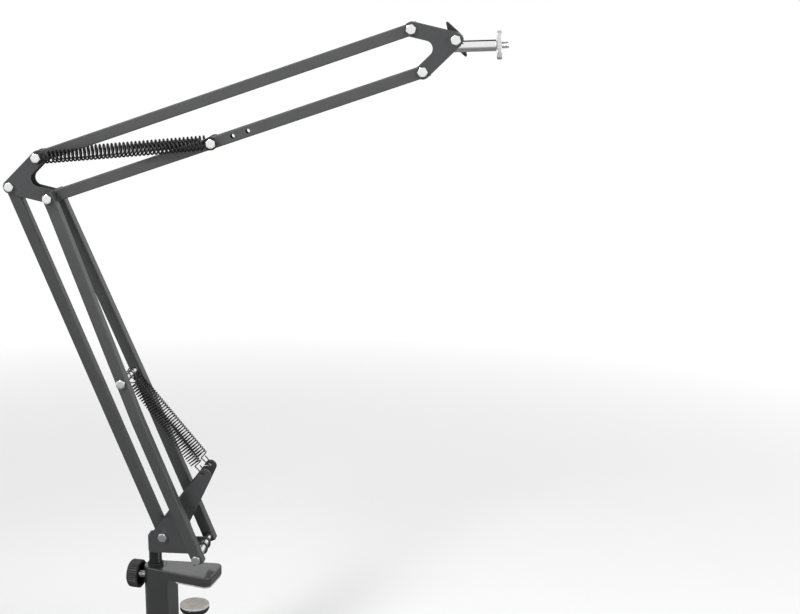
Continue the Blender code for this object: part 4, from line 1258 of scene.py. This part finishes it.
class CAMERA_ARM_OT_corner_plates(bpy.types.Operator):
    """Pairs of lobed plates at the elbow and at the head"""

    bl_idname = "camera_arm.corner_plates"
    bl_label = "Corner Plates"

    def execute(self, context):
        edge = context.scene.camera_arm_sizes.plate_edge
        for label, hub, turn in (("elbow", ELBOW_REAR, 0.0), ("head", HEAD_HUB, math.pi)):
            for side, low in (("near", -PLATE_OUT), ("far", PLATE_IN)):
                mesh = soften(prism("plate", corner_outline(), low, low + PLATE), edge)
                for spot in (ELBOW_REAR, ELBOW, ELBOW_TOP):
                    mesh = drill(mesh, HOLE_R, -2 * TUBE, 2 * TUBE, across(spot - ELBOW_REAR))
                place = Matrix.Translation(hub) @ Matrix.Rotation(turn, 4, "Y")
                dress(f"{label}_corner_{side}", mesh, place, f"{label}_plate_{side}")
        return {"FINISHED"}


def bolt_mesh(length):
    """A hex bolt along Z: its head ends at z 0 and its threaded end is at length."""
    half = BOLT_FLATS / 2
    thread_from = length - BOLT_THREAD
    rings = [
        ring(half * 0.55, -BOLT_HEAD),
        ring(half * 0.93, -BOLT_HEAD),
        hex_ring(BOLT_FLATS, HEAD_EASE - BOLT_HEAD, 0.5),
        hex_ring(BOLT_FLATS, -HEAD_FACE - HEAD_EASE),
        hex_ring(BOLT_FLATS * 0.985, -HEAD_FACE),
        ring(half * 0.96, -0.3 * MM),
        ring(half * 0.96, 0),
        ring(BOLT_R, 0),
        ring(BOLT_R, thread_from - GAP),
    ]
    rings += thread_rings(BOLT_R, BOLT_PITCH, thread_from, length, BOLT_POINT)
    return turned("bolt", rings, HEX_SIDES)


def nut_mesh(height):
    """A locking nut along Z from 0 to height: six-sided, with a plain collar that closes over its ring."""
    half = BOLT_FLATS / 2
    body = height * 0.68
    rings = [
        ring(half * 0.95, 0),
        hex_ring(BOLT_FLATS, 0.1 * MM, 0.45),
        hex_ring(BOLT_FLATS, body, -0.45),
        ring(half * 0.96, body + 0.1 * MM),
        ring(half * 0.95, height * 0.86),
        ring(half * 0.88, height * 0.97),
        ring(half * 0.80, height),
        ring(half * 0.70, height * 0.97),
        ring(NUT_BORE_R, height * 0.94),
        ring(NUT_BORE_R, 0),
    ]
    return turned("nut", rings, HEX_SIDES, hollow=True)


BOLTS = (
    "rear_pivot_bolt", "base_front_bolt", "elbow_front_bolt", "elbow_rear_bolt", "elbow_top_bolt",
    "upper_spring_bolt", "head_top_bolt", "head_lower_bolt", "head_pivot_bolt", "spring_pin",
)
# Radius, and how much further each end reaches than in the model, so that the springs' eyes sit on a sleeve
SLEEVES = {
    "base_spacer_near": (BASE_SPACER_R, 0, 0),
    "base_spacer_mid": (BASE_SPACER_R, 0, 0),
    "base_spacer_far": (BASE_SPACER_R, 0, 0),
    "spring_pin_spacer_near": (SPACER_R, 0, 1 * MM),
    "spring_pin_spacer_mid": (SPACER_R, 1 * MM, 1 * MM),
    "spring_pin_spacer_far": (SPACER_R, 1 * MM, 0),
    "elbow_top_sleeve_near": (SPACER_R, 2 * MM, 0),
    "elbow_top_sleeve_far": (SPACER_R, 0, 2 * MM),
    "upper_spring_sleeve_near": (SPACER_R, 2 * MM, 0),
    "upper_spring_sleeve_far": (SPACER_R, 0, 2 * MM),
    "base_washer_near": (WASHER_R, 0, 0),
    "base_washer_far": (WASHER_R, 0, 0),
}


class CAMERA_ARM_OT_fasteners(bpy.types.Operator):
    """Bolts, locking nuts, sleeves and washers"""

    bl_idname = "camera_arm.fasteners"
    bl_label = "Fasteners"

    def execute(self, context):
        for i, node in enumerate(BOLTS):
            low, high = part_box(node)
            seat = low.y + BOLT_HEAD
            turn = i * BOLT_TURN
            mesh = bolt_mesh(high.y - seat)
            mesh.transform(Matrix.Translation((0, 0, seat)))
            dress(f"hex_{node}", mesh, across(middle_of(node), turn), node)
            nut = f"{node.removesuffix('_bolt')}_nut"
            if nut not in BODY_OF:
                continue
            low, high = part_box(nut)
            mesh = nut_mesh(high.y - low.y)
            mesh.transform(Matrix.Translation((0, 0, low.y)))
            dress(f"lock_{nut}", mesh, across(middle_of(nut), turn + NUT_TURN), nut)
        for node, (radius, low_reach, high_reach) in SLEEVES.items():
            low = low_of(node).y - low_reach
            high = high_of(node).y + high_reach
            bore = BOLT_R + GAP
            profile = [(radius, low), (radius, high), (bore, high), (bore, low)]
            mesh = lathe("sleeve", profile, 0.15 * MM, SMALL_ROUND, hollow=True)
            dress(f"plain_{node}", mesh, across(middle_of(node)), node)
        return {"FINISHED"}


def eye_points(coil_r):
    """An eye as wide as the coil, in the spring's XZ plane. The pin at the origin bears on its far side."""
    return [Vector((p.x, 0, p.y)) for p in arc((0, EYE_SHIFT), coil_r, 150, 440, 32)]


def hook_points(coil_r, leg):
    """An open loop as wide as the coil, in the spring's YZ plane. Its bend passes under the origin."""
    bend = [Vector((0, p.x, p.y)) for p in arc((0, coil_r), coil_r, 180, 360, 20)]
    return [Vector((0, -coil_r, leg)), *bend, Vector((0, coil_r, leg + 1 * MM))]


def end_run(last, before, end):
    """The lead from a coil's last point to an end: it leaves along the wire and arrives square."""
    leave = (last - before).normalized()
    arrive = (end[1] - end[0]).normalized()
    span = (end[0] - last).length
    first = last + leave * span * 0.35
    second = end[0] - arrive * span * 0.45
    run = []
    for i in range(1, LEAD_POINTS):
        t = i / LEAD_POINTS
        s = 1 - t
        run.append(last * s ** 3 + first * (3 * s * s * t) + second * (3 * s * t * t) + end[0] * t ** 3)
    return run + end


def spring_points(coil_r, curls, length, low_hook, low_end, high_end):
    """The whole wire, end to end. Each end is a list of points about its pin, inboard ones first."""
    body = length - low_hook - SHORT_HOOK
    count = curls * CURL_POINTS + CURL_POINTS // 2
    coil = []
    for i in range(count + 1):
        angle = FULL_TURN * (i / CURL_POINTS - 0.25)
        coil.append(Vector((coil_r * math.cos(angle), coil_r * math.sin(angle), low_hook + body * i / count)))
    low = end_run(coil[0], coil[1], low_end)
    high = end_run(coil[-1], coil[-2], [Vector((p.x, p.y, length - p.z)) for p in high_end])
    return list(reversed(low)) + coil + high


class CAMERA_ARM_OT_springs(bpy.types.Operator):
    """Four extension springs, each a straight coil between its two pins"""

    bl_idname = "camera_arm.springs"
    bl_label = "Springs"

    def execute(self, context):
        sizes = context.scene.camera_arm_sizes
        hook = hook_points(LOWER_COIL_R, LONG_HOOK * 0.65)
        lower_eye, upper_eye = eye_points(LOWER_COIL_R), eye_points(UPPER_COIL_R)
        pin_y = PLATE_IN + PLATE / 2
        seat = FRONT + Vector((EAR_SEAT.x, 0, EAR_SEAT.y))
        pin = FRONT + LOWER_WAY * SPRING_PIN_AT
        upper_pin = ELBOW + UPPER_WAY * UPPER_SPRING_AT
        for side, name in ((-1, "near"), (1, "far")):
            start = seat + Vector((0, side * (pin_y + EAR_FLARE), 0))
            end = pin + Vector((0, side * pin_y, 0))
            length = (end - start).length
            points = spring_points(LOWER_COIL_R, sizes.lower_curls, length, LONG_HOOK, hook, lower_eye)
            mesh = wire(f"lower_coil_{name}", points, sizes.lower_wire)
            self.hang(mesh, start, end, LOWER_BEND, f"lower_spring_{name}", "swivel", "lower_pair")
            offset = Vector((0, side * UPPER_SPRING_Y, 0))
            start, end = ELBOW_TOP + offset, upper_pin + offset
            length = (end - start).length
            points = spring_points(UPPER_COIL_R, sizes.upper_curls, length, SHORT_HOOK, upper_eye, upper_eye)
            mesh = wire(f"upper_coil_{name}", points, sizes.upper_wire)
            self.hang(mesh, start, end, UPPER_BEND, f"upper_spring_{name}", "elbow", "upper_lower")
        return {"FINISHED"}

    def hang(self, mesh, start, end, bend, node, *bodies):
        """A spring that stands for the node. Its bend is not used."""
        spring = hold(mesh)
        mesh.shade_smooth()
        mesh.materials.append(finish(SLOT_OF[node]))
        spring.matrix_world = aimed(start, (end - start).normalized())
        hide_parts(node)
        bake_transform(spring)


class CAMERA_ARM_OT_wing_knob(bpy.types.Operator):
    """Moulded wing knob that locks the rod's tilt"""

    bl_idname = "camera_arm.wing_knob"
    bl_label = "Wing Knob"

    def execute(self, context):
        tip = WING_SPAN / 2 - WING_TIP_R
        flank = 90 - math.degrees(math.asin((WING_HUB_R - WING_TIP_R) / tip))
        outline = []
        for side, start in ((1, -flank), (-1, 180 - flank)):
            outline += arc((side * tip, 0), WING_TIP_R, start, start + 2 * flank, 8)
            outline += arc((0, 0), WING_HUB_R, start + 2 * flank, start + 180, 4)
        low = PLATE_OUT + GAP
        high = low + WING_HUB_LENGTH
        mesh = soften(prism("wings", outline, high - WING_THICK, high), 0.7 * MM, 3)
        profile = [(WING_HUB_R * 0.94, low), (WING_HUB_R * 0.98, high), (WING_HUB_R * 0.6, high + GAP)]
        hub = lathe("hub", profile, 0.4 * MM)
        hub.transform(ALONG_Y)
        mesh = carve(mesh, hub, "UNION")
        mesh = drill(mesh, BOLT_R + GAP, low - TUBE, high - WING_CAP, ALONG_Y)
        place = Matrix.Translation(HEAD_HUB) @ Matrix.Rotation(-WING_TILT - math.pi / 2, 4, "Y")
        dress("wing_grip", mesh, place, "wing_knob")
        return {"FINISHED"}


class CAMERA_ARM_OT_camera_mount(bpy.types.Operator):
    """Chromed rod with its flat eye, its threaded stud and the knurled ring"""

    bl_idname = "camera_arm.camera_mount"
    bl_label = "Camera Mount"

    def execute(self, context):
        sizes = context.scene.camera_arm_sizes
        place = Matrix.Translation(HEAD_HUB) @ Matrix.Rotation(-math.atan2(ROD_WAY.z, ROD_WAY.x), 4, "Y")
        rod_place = place @ ALONG_ROD
        eye = arc((0, 0), EYE_R, -30, 210, 40)
        body = eye + vectors((eye[-1].x, -ROD_DROP), (eye[0].x, -ROD_DROP))
        mesh = soften(prism("eye", body, -TUBE_HALF, TUBE_HALF), 0.6 * MM, 3)
        bar = lathe("bar", [(ROD_R, ROD_START), (ROD_R, ROD_END)], 0.6 * MM)
        bar.transform(ALONG_ROD)
        mesh = carve(mesh, bar, "UNION")
        mesh = drill(mesh, HOLE_R, -TUBE, TUBE, ALONG_Y)
        bore = STUD_R + GAP
        mesh = drill(mesh, bore, ROD_END - STUD_HOLE, ROD_END + TUBE, ALONG_ROD)
        dress("chromed_rod", mesh, place, "mount_rod")

        disc_low = ROD_END + GAP
        disc_high = disc_low + DISC_THICK
        rings = [ring(STUD_R, ROD_END - STUD_ROOT), ring(STUD_R, disc_low)]
        rings += thread_rings(STUD_R, STUD_PITCH, disc_low + GAP, disc_high + STUD_PROUD, STUD_POINT)
        dress("threaded_stud", turned("stud", rings, SMALL_ROUND), rod_place, "camera_stud")

        teeth = sizes.knurl_teeth
        rim = DISC_R - 0.7 * MM
        rings = [
            ring(bore, disc_low + 0.2 * MM),
            ring(bore + 0.2 * MM, disc_low),
            ring(rim, disc_low),
            ribbed_ring(DISC_R, disc_low + DISC_BEVEL, teeth, KNURL),
            ribbed_ring(DISC_R, disc_high - DISC_BEVEL, teeth, KNURL),
            ring(rim, disc_high),
            ring(bore + 0.2 * MM, disc_high),
            ring(bore, disc_high - 0.2 * MM),
        ]
        dress("knurled_ring", turned("ring", rings, teeth * 6, hollow=True), rod_place, "lock_disc")
        return {"FINISHED"}


class CAMERA_ARM_OT_stage(bpy.types.Operator):
    """Pale floor, soft studio light and the camera"""

    bl_idname = "camera_arm.stage"
    bl_label = "Stage"

    def execute(self, context):
        scene = context.scene
        scene.view_settings.view_transform = "Standard"
        self.camera(scene)
        self.floor(scene)
        self.world(scene)
        self.lamp("key", (-0.9, -1.5, 1.5), (0.6, 0.6), 24)
        self.lamp("top", (0.3, 0.1, 1.7), (1.3, 0.7), 20, mirrored=False)
        self.lamp("side", (1.7, -0.5, 0.8), (0.6, 1.0), 12)
        return {"FINISHED"}

    def camera(self, scene):
        view = bpy.data.cameras.new("camera")
        view.sensor_width = SENSOR
        view.lens = LENS
        view.shift_x, view.shift_y = LENS_SHIFT
        camera = bpy.data.objects.new("camera", view)
        camera.location = VIEW_PLACE
        camera.rotation_euler = (math.radians(90) - VIEW_DOWN, 0, VIEW_LEFT)
        scene.collection.objects.link(camera)
        scene.camera = camera

    def floor(self, scene):
        """A wide disc under the clamp's knob. Its far part shows the plain background. In reflections, its
        part near and behind the arm shows a dark grey, a painted reflection.
        """
        shape = bmesh.new()
        bmesh.ops.create_circle(shape, cap_ends=True, segments=96, radius=FLOOR_R)
        mesh = mesh_from("floor", shape)
        floor = hold(mesh)
        floor.location.z = cad_box[0].z - 1 * MM
        colour = tuple(scene.camera_arm_colours.stage)
        ground = Finish("floor_finish", {"Specular IOR Level": 0.1})
        spots = ground.place()
        grain = ground.noise(spots, 9, 3)
        ground.wear(base_color=ground.shaded(grain, colour, 0.99, 1.01), roughness=0.85 + 0.1 * grain)
        away = ground.add("ShaderNodeVectorMath", {"operation": "LENGTH"}, {0: spots}, "Value")
        behind = ground.add("ShaderNodeSeparateXYZ", None, {0: spots}, "Y")
        camera, mirrored = ground.rays()
        # Painted reflection: near and behind the arm, reflections see the floor as a dark grey glow, whatever
        # light falls on it.
        under = 1 - ground.between(away, *PAINTED_FLOOR_REFLECTION_AWAY)
        painted_reflection_mask = ground.maths("MAXIMUM", under, ground.between(behind, *PAINTED_FLOOR_REFLECTION_BEHIND)) * mirrored
        backdrop_and_painted_reflection = ground.add("ShaderNodeEmission", None, {"Color": ground.tint(painted_reflection_mask, WHITE, PAINTED_FLOOR_REFLECTION)})
        surface = Value(ground, ground.shader.outputs["BSDF"])
        shown = ground.clamp(camera * ground.between(away, *FLOOR_FADE) + mirrored)
        mixed = ground.add("ShaderNodeMixShader", None, {0: shown, 1: surface, 2: backdrop_and_painted_reflection})
        output = ground.tree.nodes["Material Output"]
        ground.feed(output.inputs["Surface"], mixed)
        mesh.materials.append(ground.material)

    def world(self, scene):
        """White where it is seen, dimmer light on the pieces, and a painted reflection: a dark patch behind
        and above them that only reflections show.
        """
        world = bpy.data.worlds.new("studio")
        world.use_nodes = True
        nodes = Nodes(world.node_tree)
        way = nodes.add("ShaderNodeTexCoord", output="Generated")
        back = nodes.add("ShaderNodeSeparateXYZ", None, {0: way}, "Y")
        up = nodes.add("ShaderNodeSeparateXYZ", None, {0: way}, "Z")
        # Painted reflection: a dark patch behind and above the arm that only reflections show.
        painted_dark_reflection_mask = nodes.between(back, *PAINTED_DARK_REFLECTION_BACK) * nodes.between(up, *PAINTED_DARK_REFLECTION_UP)
        camera, mirrored = nodes.rays()
        shown = nodes.tint(painted_dark_reflection_mask * mirrored, WHITE, PAINTED_DARK_REFLECTION)
        light = nodes.add("ShaderNodeBackground", None, {"Color": WHITE, "Strength": STUDIO_LIGHT})
        backdrop = nodes.add("ShaderNodeBackground", None, {"Color": shown, "Strength": 1.0})
        seen = nodes.clamp(camera + mirrored)
        mixed = nodes.add("ShaderNodeMixShader", None, {0: seen, 1: light, 2: backdrop})
        nodes.feed(world.node_tree.nodes["World Output"].inputs["Surface"], mixed)
        scene.world = world

    def lamp(self, name, place, size, power, mirrored=True):
        light = bpy.data.lights.new(name, "AREA")
        light.shape = "RECTANGLE"
        light.size, light.size_y = size
        light.energy = power
        lamp = bpy.data.objects.new(name, light)
        lamp.location = place
        aim = LAMP_AIM - Vector(place)
        lamp.rotation_euler = aim.to_track_quat("-Z", "Y").to_euler()
        lamp.visible_camera = False
        lamp.visible_glossy = mirrored
        bpy.context.scene.collection.objects.link(lamp)


OPERATORS = (
    CAMERA_ARM_OT_stage,
    CAMERA_ARM_OT_clamp,
    CAMERA_ARM_OT_clamp_screw,
    CAMERA_ARM_OT_lock_screw,
    CAMERA_ARM_OT_swivel,
    CAMERA_ARM_OT_bars,
    CAMERA_ARM_OT_corner_plates,
    CAMERA_ARM_OT_fasteners,
    CAMERA_ARM_OT_springs,
    CAMERA_ARM_OT_wing_knob,
    CAMERA_ARM_OT_camera_mount,
)


class CAMERA_ARM_PT_panel(bpy.types.Panel):
    """The sizes, the colours and one button for each group of pieces"""

    bl_label = "Camera Arm"
    bl_idname = "CAMERA_ARM_PT_panel"
    bl_space_type = "VIEW_3D"
    bl_region_type = "UI"
    bl_category = "Camera Arm"

    def draw(self, context):
        for group in (context.scene.camera_arm_sizes, context.scene.camera_arm_colours):
            column = self.layout.column()
            for name in group.__annotations__:
                column.prop(group, name)
        for operator in OPERATORS:
            self.layout.operator(operator.bl_idname)


CLASSES = (CameraArmSizes, CameraArmColours, *OPERATORS, CAMERA_ARM_PT_panel)


def register():
    for each in CLASSES:
        bpy.utils.register_class(each)
    bpy.types.Scene.camera_arm_sizes = bpy.props.PointerProperty(type=CameraArmSizes)
    bpy.types.Scene.camera_arm_colours = bpy.props.PointerProperty(type=CameraArmColours)


def unregister():
    del bpy.types.Scene.camera_arm_colours
    del bpy.types.Scene.camera_arm_sizes
    for each in reversed(CLASSES):
        bpy.utils.unregister_class(each)


def main():
    register()
    for operator in OPERATORS:
        name = operator.bl_idname.removeprefix("camera_arm.")
        getattr(bpy.ops.camera_arm, name)()


if __name__ == "__main__":
    main()
